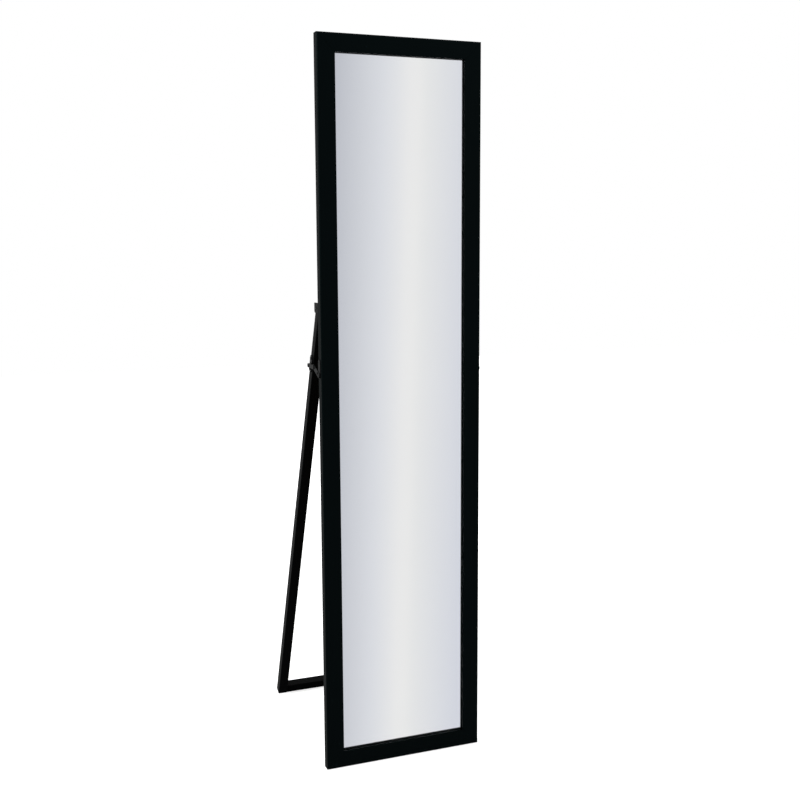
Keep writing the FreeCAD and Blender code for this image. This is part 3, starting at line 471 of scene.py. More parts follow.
beech_finish, recipe = new_finish("bare_beech")
place = coordinates(recipe, ALONG_WIDTH, GRAIN_STRETCH)
grain = noise(recipe, place, BEECH_SCALE, detail=4.0)
fill(recipe, {
    "Base Color": blend_colours(recipe, grain, BEECH_DARK, BEECH_LIGHT),
    "Roughness": 0.6 + grain * 0.1,
    "Normal": bump(recipe, grain, 0.1, FINE_DEPTH),
})

# %% [markdown]
# ## Which piece gets which finish
#
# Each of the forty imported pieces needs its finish. A list of forty names would be long and easy
# to get wrong. A piece's name says what it is, so the first words of the name choose its finish.
# The grain of the paint is turned three ways: up the stiles, across the rails and the bar, and
# down the legs.

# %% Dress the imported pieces

FINISHES = [
    ("frame_stile", stile_paint),
    ("frame_rail", rail_paint),
    ("stand_leg", leg_paint),
    ("stand_cross_bar", bar_paint),
    ("mirror_glass", clear_finish),
    ("back_panel", board_finish),
    ("corner_v_nails", plated_finish),
    ("panel_points", plated_finish),
    ("cross_bar_dowels", beech_finish),
    ("hinge_bracket_screws", plated_finish),
    ("hinge_bracket", plastic_finish),
    ("hinge_washer", plated_finish),
    ("hinge_nut", plated_finish),
    ("hinge_bolt", steel_finish),
    ("stay_", steel_finish),
]


def finish_of(name):
    """The first finish in the list whose words start the name."""
    return next(material for start, material in FINISHES if name.startswith(start))


for name, node in nodes.items():
    node.data.materials.clear()
    node.data.materials.append(finish_of(name))
print("dressed:", len(nodes), "nodes with", len(bpy.data.materials), "materials")

# %% [markdown]
# ## Working frames
#
# Nothing on this object stands square to the floor: the mirror leans back a little, and the legs
# slope. A piece could be modelled where it is, but it is far easier to model it straight, in a
# frame of its own, and to turn it into the room when it is finished. The hinge of the stand,
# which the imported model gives, lies in both frames and ties them to the room.

# %% Two working frames

FRAME_WIDTH = 0.362
FRAME_HEIGHT = 1.560
HINGE_HEIGHT = 1.009
HINGE_DEPTH = 0.03485

joint_at = {joint["name"]: Vector(joint["pos_m"]) for joint in frame["joints"]}
hinge_point = joint_at["stand_fold"]
mirror_turn = Matrix.Rotation(-LEAN, 4, "X")
mirror_corner = hinge_point - mirror_turn @ Vector((0.0, HINGE_DEPTH, HINGE_HEIGHT))
mirror_frame = Matrix.Translation(mirror_corner) @ mirror_turn
stand_frame = Matrix.Translation(hinge_point) @ Matrix.Rotation(LEG_SLOPE, 4, "X")
print("front lower edge:", [round(value, 4) for value in mirror_corner])

# %% [markdown]
# ## Tools on the bench
#
# By hand, a piece is shaped by picking some of its faces or edges and running an operator on
# them. A script could build the mesh from lists of numbers instead, but the steps would be hard
# to follow. So `work` does what the hand does: it opens one piece, selects the corners, edges or
# faces whose middle passes a test, runs one operator on them and closes the piece again.

# %% Tests that pick

TOUCHING = 1e-5


def near(value, target):
    """Whether two lengths are the same, but for rounding."""
    return abs(value - target) < TOUCHING


def everywhere(point):
    """A test that every place passes."""
    return True


def at(**places):
    """A test for what lies at these places, such as x=0."""
    return lambda point: all(near(getattr(point, axis), place) for axis, place in places.items())


def on_either_side(distance):
    """A test for what lies this far to the left or to the right of the middle."""
    return lambda point: near(abs(point.x), distance)


# %% Selecting and working


def only(piece):
    """Select one piece alone and make it the active one."""
    bpy.ops.object.select_all(action="DESELECT")
    piece.select_set(True)
    bpy.context.view_layer.objects.active = piece


def middle(item):
    """The middle of a corner, an edge or a face."""
    if hasattr(item, "co"):
        return item.co
    corners = [corner.co for corner in item.verts]
    return sum(corners, Vector()) / len(corners)


def work(piece, kind, test, operator, **settings):
    """Open a piece, select what passes the test, run an operator on it, and close the piece."""
    only(piece)
    bpy.ops.object.mode_set(mode="EDIT")
    bpy.ops.mesh.select_mode(type=kind)
    bpy.ops.mesh.select_all(action="DESELECT")
    mesh = bmesh.from_edit_mesh(piece.data)
    items = {"VERT": mesh.verts, "EDGE": mesh.edges, "FACE": mesh.faces}[kind]
    chosen = [item for item in items if test(middle(item))]
    for item in chosen:
        item.select_set(True)
    mesh.select_flush_mode()
    bmesh.update_edit_mesh(piece.data)
    operator(**settings)
    bpy.ops.object.mode_set(mode="OBJECT")
    return len(chosen)


# %% Starting a piece

ROUND_SIDES = 48


def fix_place(piece):
    """Write the object's place, turn and size into its mesh."""
    only(piece)
    bpy.ops.object.transform_apply(location=True, rotation=True, scale=True)


def named(name):
    """Name the primitive that was just added."""
    piece = bpy.context.object
    piece.name = name
    fix_place(piece)
    return piece


def block(name, low, high):
    """A plain box between two corners, to be worked on."""
    size = Vector(high) - Vector(low)
    centre = (Vector(high) + Vector(low)) / 2
    bpy.ops.mesh.primitive_cube_add(size=1.0, location=centre, scale=size)
    return named(name)


def round_bar(name, radius, low, high, sides=ROUND_SIDES):
    """A plain cylinder along Z, to cut with."""
    size = {"vertices": sides, "radius": radius, "depth": high - low}
    bpy.ops.mesh.primitive_cylinder_add(location=(0.0, 0.0, (low + high) / 2), **size)
    return named(name)


# %% Shaping a piece


def soften(piece, kind, test, radius, segments):
    """Round the corners or edges that pass the test."""
    affect = {"VERT": "VERTICES", "EDGE": "EDGES"}[kind]
    size = {"offset": radius, "segments": segments}
    return work(piece, kind, test, bpy.ops.mesh.bevel, affect=affect, **size)


def pull(piece, test, distance):
    """Extrude the faces that pass the test, and move them."""
    move = {"value": distance}
    extrude = bpy.ops.mesh.extrude_region_move
    return work(piece, "FACE", test, extrude, TRANSFORM_OT_translate=move)


def saw(piece, point, away):
    """Cut the piece at a plane, drop what lies beyond it, and close the cut."""
    cut = {"plane_co": point, "plane_no": away, "threshold": TOUCHING / 10}
    work(piece, "FACE", everywhere, bpy.ops.mesh.bisect, clear_outer=True, use_fill=True, **cut)


def face_outwards(piece):
    """Merge corners in one place, and turn every face to the outside."""
    work(piece, "VERT", everywhere, bpy.ops.mesh.remove_doubles, threshold=TOUCHING / 10)
    work(piece, "FACE", everywhere, bpy.ops.mesh.normals_make_consistent, inside=False)


# %% Cutting and copying


def with_modifier(piece, kind, **settings):
    """Add a modifier, set it and apply it."""
    only(piece)
    modifier = piece.modifiers.new(kind.lower(), kind)
    for name, value in settings.items():
        setattr(modifier, name, value)
    bpy.ops.object.modifier_apply(modifier=modifier.name)


def carve(piece, tool, operation="DIFFERENCE"):
    """Cut one piece with another, which is then put away."""
    with_modifier(piece, "BOOLEAN", object=tool, operation=operation, solver="EXACT")
    bpy.data.objects.remove(tool)


def twin(piece, name):
    """A copy with a mesh of its own."""
    copy = bpy.data.objects.new(name, piece.data.copy())
    bpy.context.scene.collection.objects.link(copy)
    return copy


# %% [markdown]
# ## The last step for every new piece
#
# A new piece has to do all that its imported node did: stand in the same place, move with the same
# body, and have the same kind of material. `settle` sees to that. It also smooths the piece.
# Smooth shading alone would bend the light on a large face next to a rounded edge, so a modifier
# then weighs each corner's direction by the size of the faces round it, and the flat faces stay
# flat.

# %% Settling a piece

SMOOTH_ANGLE = math.radians(35)
LARGEST_FACE_WINS = 100

new_pieces = []


def settle(piece, place, finish, node, smooth=True):
    """Put a finished piece in the room, dress it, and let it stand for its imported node."""
    piece.matrix_world = place
    fix_place(piece)
    if smooth:
        bpy.ops.object.shade_smooth_by_angle(angle=SMOOTH_ANGLE)
        with_modifier(piece, "WEIGHTED_NORMAL", weight=LARGEST_FACE_WINS, keep_sharp=True)
    if finish:
        piece.data.materials.clear()
        piece.data.materials.append(finish)
    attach(piece, nodes[node]["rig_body"])
    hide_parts(node)
    new_pieces.append((piece.name, node))


# %% [markdown]
# ## The moulding
#
# The frame is four lengths of one wooden moulding. Its front outer edge is well rounded, its
# inner edge has a small bevel, and a step at the back, the rebate, takes the glass and the board.
# It could be a box with cuts, but a moulding is really made by running one section along a
# length, so that is the way here: a flat section is cut and rounded while it is still one face,
# pulled out to the length, and sawn at forty-five degrees. The sawn edges are eased a hair, which
# leaves the fine line that shows at every mitre of a painted frame.

# %% Section sizes

FACE_WIDTH = 0.038
FRAME_DEPTH = 0.022
REBATE_INSET = 0.030
GLASS_RECESS = 0.006
BEVEL_WIDTH = 0.003
BEVEL_DEPTH = 0.002
OUTER_ROUNDING = 0.004
BACK_ROUNDING = 0.001
LIP_ROUNDING = 0.0005
ROUNDED_CORNERS = [
    ((0, 0), OUTER_ROUNDING, 8),
    ((0, FRAME_DEPTH), BACK_ROUNDING, 3),
    ((REBATE_INSET, FRAME_DEPTH), LIP_ROUNDING, 2),
    ((FACE_WIDTH - BEVEL_WIDTH, 0), LIP_ROUNDING, 3),
    ((FACE_WIDTH, BEVEL_DEPTH), LIP_ROUNDING, 3),
]

# %% The flat section


def in_rebate(point):
    """A test for the part of the section that the rebate takes away."""
    return point.x > REBATE_INSET and point.y > GLASS_RECESS


def section(name, level):
    """The section as one flat face: its outer edge at X = 0, its front at Y = 0."""
    bpy.ops.mesh.primitive_plane_add(size=1.0)
    piece = bpy.context.object
    piece.scale = (FACE_WIDTH, FRAME_DEPTH, 1.0)
    piece.location = (FACE_WIDTH / 2, FRAME_DEPTH / 2, level)
    named(name)
    cut = bpy.ops.mesh.bisect
    work(piece, "FACE", everywhere, cut, plane_co=(REBATE_INSET, 0, 0), plane_no=(1, 0, 0))
    work(piece, "FACE", everywhere, cut, plane_co=(0, GLASS_RECESS, 0), plane_no=(0, 1, 0))
    work(piece, "FACE", in_rebate, bpy.ops.mesh.delete, type="FACE")
    start = (FACE_WIDTH - BEVEL_WIDTH, 0, 0)
    slope = (BEVEL_DEPTH, -BEVEL_WIDTH, 0)
    work(piece, "FACE", everywhere, cut, plane_co=start, plane_no=slope, clear_outer=True)
    work(piece, "FACE", everywhere, bpy.ops.mesh.dissolve_faces)
    for (x, y), radius, segments in ROUNDED_CORNERS:
        soften(piece, "VERT", at(x=x, y=y), radius, segments)
    return piece


# %% A length of moulding

MITRE_EASE = 0.00025
SAW_WASTE = 0.01


def moulding(name, length):
    """One length of the moulding along Z, mitred at both ends."""

    def on_mitre(point):
        return near(point.x + abs(point.z), length / 2)

    piece = section(name, -length / 2 - SAW_WASTE)
    pull(piece, everywhere, (0.0, 0.0, length + 2 * SAW_WASTE))
    face_outwards(piece)
    for end in (-1, 1):
        saw(piece, (0, 0, end * length / 2), (1, 0, end))
    eased = soften(piece, "EDGE", on_mitre, MITRE_EASE, 1)
    print(name, "faces:", len(piece.data.polygons), "eased edges:", eased)
    return piece


# %% Four lengths round the glass

half_width = FRAME_WIDTH / 2
half_height = FRAME_HEIGHT / 2
stile = moulding("moulding_left", FRAME_HEIGHT)
rail = moulding("moulding_bottom", FRAME_WIDTH)
other_stile = twin(stile, "moulding_right")
other_rail = twin(rail, "moulding_top")
lengths = [
    (stile, stile_paint, "frame_stile_left", (-half_width, 0, half_height), 0),
    (other_stile, stile_paint, "frame_stile_right", (half_width, 0, half_height), 180),
    (rail, rail_paint, "frame_rail_bottom", (0, 0, 0), -90),
    (other_rail, rail_paint, "frame_rail_top", (0, 0, FRAME_HEIGHT), 90),
]
for piece, paint, node, place, degrees in lengths:
    turned_in = Matrix.Translation(place) @ Matrix.Rotation(math.radians(degrees), 4, "Y")
    settle(piece, mirror_frame @ turned_in, paint, node)
print("frame:", FRAME_WIDTH, "by", FRAME_HEIGHT, "m")

# %% [markdown]
# ## V-nails across the mitres
#
# Each mitre is glued and held by two L-shaped nails pressed in from the back. Only their ends
# show, so a flat letter L would do, but a nail has a height in the wood. It is one thin strip
# bent in the middle, so it starts as a small square, grows a wing each way by extruding one side
# at a time, and has its full height from the start. Eight copies, two at each corner, are joined.

# %% One corner nail

NAIL_THICKNESS = 0.0008
NAIL_WING = 0.008
NAIL_HEIGHT = 0.010


def corner_nail(name):
    """One nail: its bend at X = 0, Z = 0, its wings along X and Z, standing in Y."""
    half = NAIL_THICKNESS / 2
    piece = block(name, (-half, 0, -half), (half, NAIL_HEIGHT, half))
    pull(piece, at(x=half), (NAIL_WING - half, 0, 0))
    pull(piece, lambda point: near(point.z, half) and point.x < half, (0, 0, NAIL_WING - half))
    face_outwards(piece)
    return piece


# %% Two nails at each corner

NAIL_PROUD = 0.0002
NAIL_INSETS = (0.008, 0.021)

first_nail = corner_nail("v_nails")
nail_level = FRAME_DEPTH - NAIL_HEIGHT + NAIL_PROUD
frame_corners = [
    (-half_width, 0, 0),
    (-half_width, 0, FRAME_HEIGHT),
    (half_width, 0, FRAME_HEIGHT),
    (half_width, 0, 0),
]
nails = []
for quarters, corner in enumerate(frame_corners):
    turned_in = Matrix.Translation(corner) @ Matrix.Rotation(math.radians(90 * quarters), 4, "Y")
    for inset in NAIL_INSETS:
        nail = twin(first_nail, "nail")
        nail.matrix_world = turned_in @ Matrix.Translation((inset, nail_level, inset))
        fix_place(nail)
        nails.append(nail)
bpy.data.objects.remove(first_nail)
print("nails:", len(nails))

# %% Join the nails

only(nails[0])
for nail in nails:
    nail.select_set(True)
bpy.ops.object.join()
nails[0].name = "v_nails"
settle(nails[0], mirror_frame, plated_finish, "corner_v_nails")
print("nails' faces:", len(nails[0].data.polygons))

# %% [markdown]
# ## The glass
#
# A mirror's silver lies on the back of its glass. That puts the reflection three millimetres
# behind the front face, and leaves a dark line between the moulding and its own reflection. A
# plain shiny face would lose that line, so this sheet is real glass: a slab with ground edges,
# clear all round, whose back face alone is silver. It stops a hair short of the board behind it,
# because two faces in one place would flicker. It stays flat shaded, so that nothing bends the
# reflection.

# %% Glass sheet

GLASS_THICKNESS = 0.003
PANE_GAP = 0.00075
GROUND_EDGE = 0.0005
SILVER_GAP = 0.00005

pane_half = half_width - REBATE_INSET - PANE_GAP
pane_low = REBATE_INSET + PANE_GAP
pane_high = FRAME_HEIGHT - pane_low
silver_level = GLASS_RECESS + GLASS_THICKNESS - SILVER_GAP


def front_or_back(point):
    """A test for the edges round the sheet's two large faces."""
    return near(point.y, GLASS_RECESS) or near(point.y, silver_level)


pane_low_corner = (-pane_half, GLASS_RECESS, pane_low)
pane = block("glass_sheet", pane_low_corner, (pane_half, silver_level, pane_high))
soften(pane, "EDGE", front_or_back, GROUND_EDGE, 2)
pane.data.materials.append(clear_finish)
pane.data.materials.append(silver_finish)
silvered = [face for face in pane.data.polygons if near(face.center.y, silver_level)]
for face in silvered:
    face.material_index = 1
settle(pane, mirror_frame, None, "mirror_glass", smooth=False)
print("pane:", round(2 * pane_half, 4), "by", round(pane_high - pane_low, 4), "m")
print("silvered faces:", len(silvered))

# %% [markdown]
# ## The legs
#
# The stand is square timber with softened edges. A leg's top is a half round, because it turns
# between the bracket's cheeks, and its foot is cut square. The half round could be a cylinder
# joined on, but that leaves a seam. Bevelling the two top edges by half the leg's depth rolls
# them into one half circle instead. The long edges are rounded after that, so that they follow
# the round top too.

# %% Leg sizes

LEG_WIDTH = 0.0225
LEG_DEPTH = 0.0215
LEG_INSET = 0.0033
LEG_ROUNDING = 0.002
LEG_TOP_SEGMENTS = 12
FOOT_EASE = 0.0004
BOLT_RADIUS = 0.0025
RUNNING_GAP = 0.00005
SIDES = (("left", -1), ("right", 1))

leg_half_depth = LEG_DEPTH / 2
leg_length = (hinge_point.z - leg_half_depth * math.sin(LEG_SLOPE)) / math.cos(LEG_SLOPE)
leg_middle = half_width - LEG_INSET - LEG_WIDTH / 2
print("leg length:", round(leg_length, 4))

# %% Legs


def on_leg_side(point):
    """A test for the long edges and the round top's edges on a leg's two sides."""
    return near(abs(point.x), LEG_WIDTH / 2) and not near(point.z, -leg_length)


def leg(name):
    """One leg in the stand's frame, with its hinge hole at the origin."""
    half = Vector((LEG_WIDTH / 2, leg_half_depth, 0))
    piece = block(name, (-half.x, -half.y, -leg_length), (half.x, half.y, leg_half_depth))
    top_edges = at(x=0, z=leg_half_depth)
    soften(piece, "EDGE", top_edges, leg_half_depth, LEG_TOP_SEGMENTS)
    face_outwards(piece)
    soften(piece, "EDGE", on_leg_side, LEG_ROUNDING, 3)
    soften(piece, "EDGE", at(z=-leg_length), FOOT_EASE, 2)
    hole = round_bar("hole", BOLT_RADIUS + RUNNING_GAP, -LEG_WIDTH, LEG_WIDTH)
    hole.matrix_world = Matrix.Rotation(math.radians(90), 4, "Y")
    fix_place(hole)
    carve(piece, hole)
    return piece


left_leg = leg("leg_left")
for piece, side in ((left_leg, -1), (twin(left_leg, "leg_right"), 1)):
    place = stand_frame @ Matrix.Translation((side * leg_middle, 0, 0))
    settle(piece, place, leg_paint, "stand_" + piece.name)
print("leg faces:", len(left_leg.data.polygons))

# %% [markdown]
# ## The cross bar
#
# A bar between the feet keeps the legs apart. It is the same timber as the legs, so it is made in
# the same way, from a block in the stand's frame. Its long edges are rounded as theirs are. Its
# ends are only eased, because they butt against the legs.

# %% Cross bar

BAR_HEIGHT = 0.021
BAR_END_EASE = 0.0003

bar_half = leg_middle - LEG_WIDTH / 2
bar_low = (-bar_half, -leg_half_depth, -leg_length)
bar = block("cross_bar", bar_low, (bar_half, leg_half_depth, BAR_HEIGHT - leg_length))
soften(bar, "EDGE", at(x=0), LEG_ROUNDING, 4)
soften(bar, "EDGE", on_either_side(bar_half), BAR_END_EASE, 1)
settle(bar, stand_frame, bar_paint, "stand_cross_bar")
print("bar:", round(2 * bar_half, 4), "m long")

# %% [markdown]
# ## Rivets and bolts
#
# Everything that turns on this object turns on a pin with a low round head. Such a pin could be
# stacked up from cylinders, but its rims would be sharp. A lathe makes it in one, and so does
# `turned`: half of the outline is drawn point by point, each point extruded from the last, and
# the outline is then spun about the pin's middle line. Where each pin begins and ends is read
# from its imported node, because the layers of plates and straps set its length.

# %% A lathe

PIN_SIDES = 48


def drawn_to(place):
    """A test for the corner that was drawn last."""
    return lambda point: (point - place).length < TOUCHING / 10


def turned(name, outline):
    """Draw half an outline, given as pairs of a radius and a height, and spin it about Z."""
    points = [Vector((radius, 0.0, height)) for radius, height in outline]
    bpy.ops.mesh.primitive_plane_add(size=1.0)
    piece = named(name)
    work(piece, "VERT", everywhere, bpy.ops.mesh.merge, type="CENTER")
    work(piece, "VERT", everywhere, bpy.ops.transform.translate, value=points[0])
    extrude = bpy.ops.mesh.extrude_vertices_move
    for start, end in zip(points, points[1:]):
        step = {"value": end - start}
        work(piece, "VERT", drawn_to(start), extrude, TRANSFORM_OT_translate=step)
    whole_turn = {"steps": PIN_SIDES, "angle": math.tau, "center": (0, 0, 0), "axis": (0, 0, 1)}
    work(piece, "VERT", everywhere, bpy.ops.mesh.spin, **whole_turn)
    face_outwards(piece)
    return piece


# %% Heads and places

HEAD_RIM = 0.3
DOME_STEPS = 6


def round_head(radius, under, top):
    """The outline of a low head: a short upright rim, and a dome over it."""
    rim = under + (top - under) * HEAD_RIM
    angles = [math.radians(90 * step / DOME_STEPS) for step in range(DOME_STEPS + 1)]
    dome = [(radius * math.cos(angle), rim + (top - rim) * math.sin(angle)) for angle in angles]
    return [(radius, under)] + dome


def outwards(side):
    """Turn a piece that was made along Z so that it points away from the middle."""
    return Matrix.Rotation(math.radians(90 * side), 4, "Y")


def across(point, side):
    """The place of an axle that runs from left to right through a point."""
    return Matrix.Translation((0.0, point.y, point.z)) @ outwards(side)


# %% Pin sizes

FRAME_RIVET_DEPTH = 0.01325
FRAME_RIVET_HEIGHT = 0.869
FRAME_RIVET_RADIUS = 0.0015
LEG_RIVET_RADIUS = 0.0020
KNEE_RIVET_RADIUS = 0.0020
KNEE_SINK = 0.0004
BOLT_POINT = 0.0006
HEAD_HEIGHT = 0.001
HEAD_RADIUS = 0.0045
FRAME_RIVET_HEAD_RADIUS = 0.0050
COLLAR_FROM, COLLAR_TO = 0.1802, 0.18382

frame_rivet_point = mirror_frame @ Vector((0.0, FRAME_RIVET_DEPTH, FRAME_RIVET_HEIGHT))
leg_rivet_point = joint_at["stay_rear_turn_left"]
knee_point = joint_at["stay_knee_bend_left"]
bolt_foot = [(BOLT_RADIUS - BOLT_POINT, 0.0), (BOLT_RADIUS, BOLT_POINT)]
frame_rivet_foot = [(FRAME_RIVET_RADIUS, 0.0)]
leg_rivet_foot = [(LEG_RIVET_RADIUS, 0.0)]
knee_foot = [(KNEE_RIVET_RADIUS + KNEE_SINK, 0.0), (KNEE_RIVET_RADIUS, KNEE_SINK)]
PINS = [
    ("hinge_bolt_", hinge_point, bolt_foot, HEAD_RADIUS),
    ("stay_frame_rivet_", frame_rivet_point, frame_rivet_foot, FRAME_RIVET_HEAD_RADIUS),
    ("stay_leg_rivet_", leg_rivet_point, leg_rivet_foot, HEAD_RADIUS),
    ("stay_knee_rivet_", knee_point, knee_foot, HEAD_RADIUS),
]
print("pins:", [start for start, *_ in PINS])

# %% Turned pins

for start, point, foot, head_radius in PINS:
    low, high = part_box(start + "right")
    under = high.x - HEAD_HEIGHT
    shank_radius = foot[-1][0]
    outline = [(0.0, low.x)] + [(radius, low.x + rise) for radius, rise in foot]
    if start == "stay_leg_rivet_":
        # A collar keeps the strap clear of the leg.
        outline += [(shank_radius, COLLAR_FROM), (head_radius, COLLAR_FROM)]
        outline += [(head_radius, COLLAR_TO), (shank_radius, COLLAR_TO)]
    outline += [(shank_radius, under)] + round_head(head_radius, under, high.x)
    pin = turned(start + "right_turned", outline)
    for name, side in SIDES:
        copy = twin(pin, start + name + "_pin")
        settle(copy, across(point, side), steel_finish, start + name)
    print(start, "faces:", len(pin.data.polygons), "length:", round(high.x - low.x, 5))
    bpy.data.objects.remove(pin)

# %% [markdown]
# ## Hinge nuts
#
# A nut's corners are cut back by a cone at each end. A six-sided bar with bevelled rims comes
# near that, but its chamfer would follow the flats. So the same happens here as on the machine: a
# six-sided bar and a turned blank with sloping ends are intersected, and the bolt's hole is
# drilled through.

# %% One nut

NUT_SIDES = 6
NUT_RADIUS = 0.0046
NUT_END_RADIUS = 0.0039
NUT_CHAMFER = 0.0004
BLANK_OVERSIZE = 1.02

low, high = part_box("hinge_nut_right")
half_nut = (high.x - low.x) / 2
nut_middle = (low.x + high.x) / 2
blank_outline = [
    (0.0, -half_nut),
    (NUT_END_RADIUS, -half_nut),
    (NUT_RADIUS * BLANK_OVERSIZE, NUT_CHAMFER - half_nut),
    (NUT_RADIUS * BLANK_OVERSIZE, half_nut - NUT_CHAMFER),
    (NUT_END_RADIUS, half_nut),
    (0.0, half_nut),
]
nut_size = {"vertices": NUT_SIDES, "radius": NUT_RADIUS, "depth": 2 * half_nut}
bpy.ops.mesh.primitive_cylinder_add(rotation=(0, 0, math.radians(90)), **nut_size)
nut = named("nut")
carve(nut, turned("nut_blank", blank_outline), "INTERSECT")
carve(nut, round_bar("drill", BOLT_RADIUS + RUNNING_GAP, -2 * half_nut, 2 * half_nut))
print("nut faces:", len(nut.data.polygons))

# %% A nut on each bolt

for name, side in SIDES:
    place = Matrix.Translation((side * nut_middle, 0, 0)) @ across(hinge_point, side)
    settle(twin(nut, "nut_" + name), place, plated_finish, "hinge_nut_" + name)
bpy.data.objects.remove(nut)
print("nuts' distance from the middle:", round(nut_middle, 4))

# %% [markdown]
# ## The rear straps of the stay
#
# A strap is flat bar with round ends and a hole at each end. It could be cut from an outline of
# arcs and lines, but a bevel draws the arcs by itself: the four upright corners of a thin box are
# bevelled by half the strap's width, which turns each end into a half circle. The rims get the
# small rounding that a stamped and tumbled piece has.

# %% Strap sizes

STRAP_WIDTH = 0.009
STRAP_EASE = 0.00025
STRAP_HOLE_RADIUS = 0.00205
STRAP_HOLE_SIDES = 32
STRAP_SEGMENTS = 14

low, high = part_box("stay_rear_strap_right")
half_strap = Vector(((high.x - low.x) / 2, 0.0, STRAP_WIDTH / 2))
strap_middle = (low.x + high.x) / 2
reach = leg_rivet_point - knee_point
strap_length = Vector((reach.y, reach.z)).length
strap_turn = Matrix.Rotation(math.atan2(reach.z, reach.y), 4, "X")
print("strap:", round(strap_length, 5), "m between its holes")

# %% Rear straps

strap_high = (half_strap.x, strap_length + half_strap.z, half_strap.z)
strap = block("strap", (-half_strap.x, -half_strap.z, -half_strap.z), strap_high)
soften(strap, "EDGE", at(x=0), half_strap.z, STRAP_SEGMENTS)
face_outwards(strap)
soften(strap, "EDGE", on_either_side(half_strap.x), STRAP_EASE, 2)
for hole_at in (0.0, strap_length):
    drill = round_bar("drill", STRAP_HOLE_RADIUS, -STRAP_WIDTH, STRAP_WIDTH, STRAP_HOLE_SIDES)
    drill.matrix_world = Matrix.Translation((0, hole_at, 0)) @ outwards(1)
    fix_place(drill)
    carve(strap, drill)
for name, side in SIDES:
    knee = Matrix.Translation((side * strap_middle, knee_point.y, knee_point.z))
    copy = twin(strap, "rear_strap_" + name)
    settle(copy, knee @ strap_turn, steel_finish, "stay_rear_strap_" + name)
print("strap faces:", len(strap.data.polygons))
bpy.data.objects.remove(strap)

# %% [markdown]
# ## Softer edges on the small imported pieces
#
# The brackets, plates, washers and front straps have just the right shape already, except that
# their edges are perfectly sharp, and a sharp edge catches no light. Making them again by hand
# would only risk their shape. Each is copied, the copy's flat faces are cleaned of the triangles
# they were imported with, and a bevel modifier rounds every sharp edge.

# %% Softened copies

FLAT_ANGLE = math.radians(1)
SHARP_ANGLE = math.radians(40)
SOFT_SEGMENTS = 2
SOFTENED = [
    ("hinge_bracket_", plastic_finish, 0.0004),
    ("stay_front_strap_", steel_finish, 0.0002),
    ("stay_frame_plate_", steel_finish, 0.00025),
    ("stay_leg_plate_", steel_finish, 0.0003),
    ("hinge_washer_", plated_finish, 0.00015),
]


def softened(node, finish, width):
    """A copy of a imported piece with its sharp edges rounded."""
    piece = twin(nodes[node], node + "_soft")
    piece.matrix_world = nodes[node].matrix_world
    fix_place(piece)
    work(piece, "VERT", everywhere, bpy.ops.mesh.remove_doubles, threshold=TOUCHING / 10)
    work(piece, "FACE", everywhere, bpy.ops.mesh.dissolve_limited, angle_limit=FLAT_ANGLE)
    edges = {"limit_method": "ANGLE", "angle_limit": SHARP_ANGLE}
    with_modifier(piece, "BEVEL", width=width, segments=SOFT_SEGMENTS, **edges)
    settle(piece, Matrix.Identity(4), finish, node)
    return len(piece.data.polygons)


for name, _ in SIDES:
    faces = [softened(start + name, finish, width) for start, finish, width in SOFTENED]
    print(name, "softened faces:", sum(faces))

# %% [markdown]
# ## How close the new pieces are
#
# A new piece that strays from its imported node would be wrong, however good it looks, and a slip
# of a millimetre is hard to see. So each piece's box is measured against its node's box.

# %% Measure the new pieces


def box_slip(piece, node):
    """The largest distance between the sides of a piece's box and its node's box."""
    low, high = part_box(node)
    slips = []
    for axis in range(3):
        places = [corner.co[axis] for corner in piece.data.vertices]
        slips += [abs(min(places) - low[axis]), abs(max(places) - high[axis])]
    return max(slips)


for name, node in new_pieces:
    piece = bpy.data.objects[name]
    slip = 1000 * box_slip(piece, node)
    print(f"{node:28s} {len(piece.data.polygons):6d} faces, box within {slip:.2f} mm")

# %% [markdown]
# ## The floor
#
# The mirror stands on a plain pale floor in front of plain white. More light would turn the floor
# white, but would bleach the object too. So the floor keeps its colour and its soft shadow, and
# for the camera alone it also glows by itself, more towards its far edge, where it meets the
# white. The glass and the shine on the paint don't see the floor: their rays go through it.

# %% Helpers for what only some rays see


def grey(level):
    """One level in all three colours."""
    return (level, level, level)


def fade(recipe, value, start, end, low=0.0, high=1.0):
    """From low to high, smoothly, as the value goes from the start to the end."""
    settings = {"interpolation_type": "SMOOTHSTEP"}
    inputs = {"Value": value, "From Min": start, "From Max": end, "To Min": low, "To Max": high}
    return recipe.node("MapRange", settings, inputs)


def mirrored_ray(recipe):
    """One for a ray that comes from a shiny face or through glass, nought for any other."""
    glossy = recipe.node("LightPath", output="Is Glossy Ray")
    glass = recipe.node("LightPath", output="Is Transmission Ray")
    return recipe.maths("MAXIMUM", glossy, glass)


def either(recipe, factor, when_nought, when_one):
    """One shader or the other."""
    return recipe.node("MixShader", inputs={0: factor, 1: when_nought, 2: when_one})


# %% Floor

FLOOR_SIDE = 14.0
FLOOR_DARK = grey(0.80)
FLOOR_LIGHT = grey(0.82)
SPECKLE_SCALE = 30.0
GLOW_NEAR = 0.60
GLOW_FAR = 1.0
GLOW_GROWS_FROM = 0.9
GLOW_GROWS_TO = 3.0
WHITE = grey(1.0)

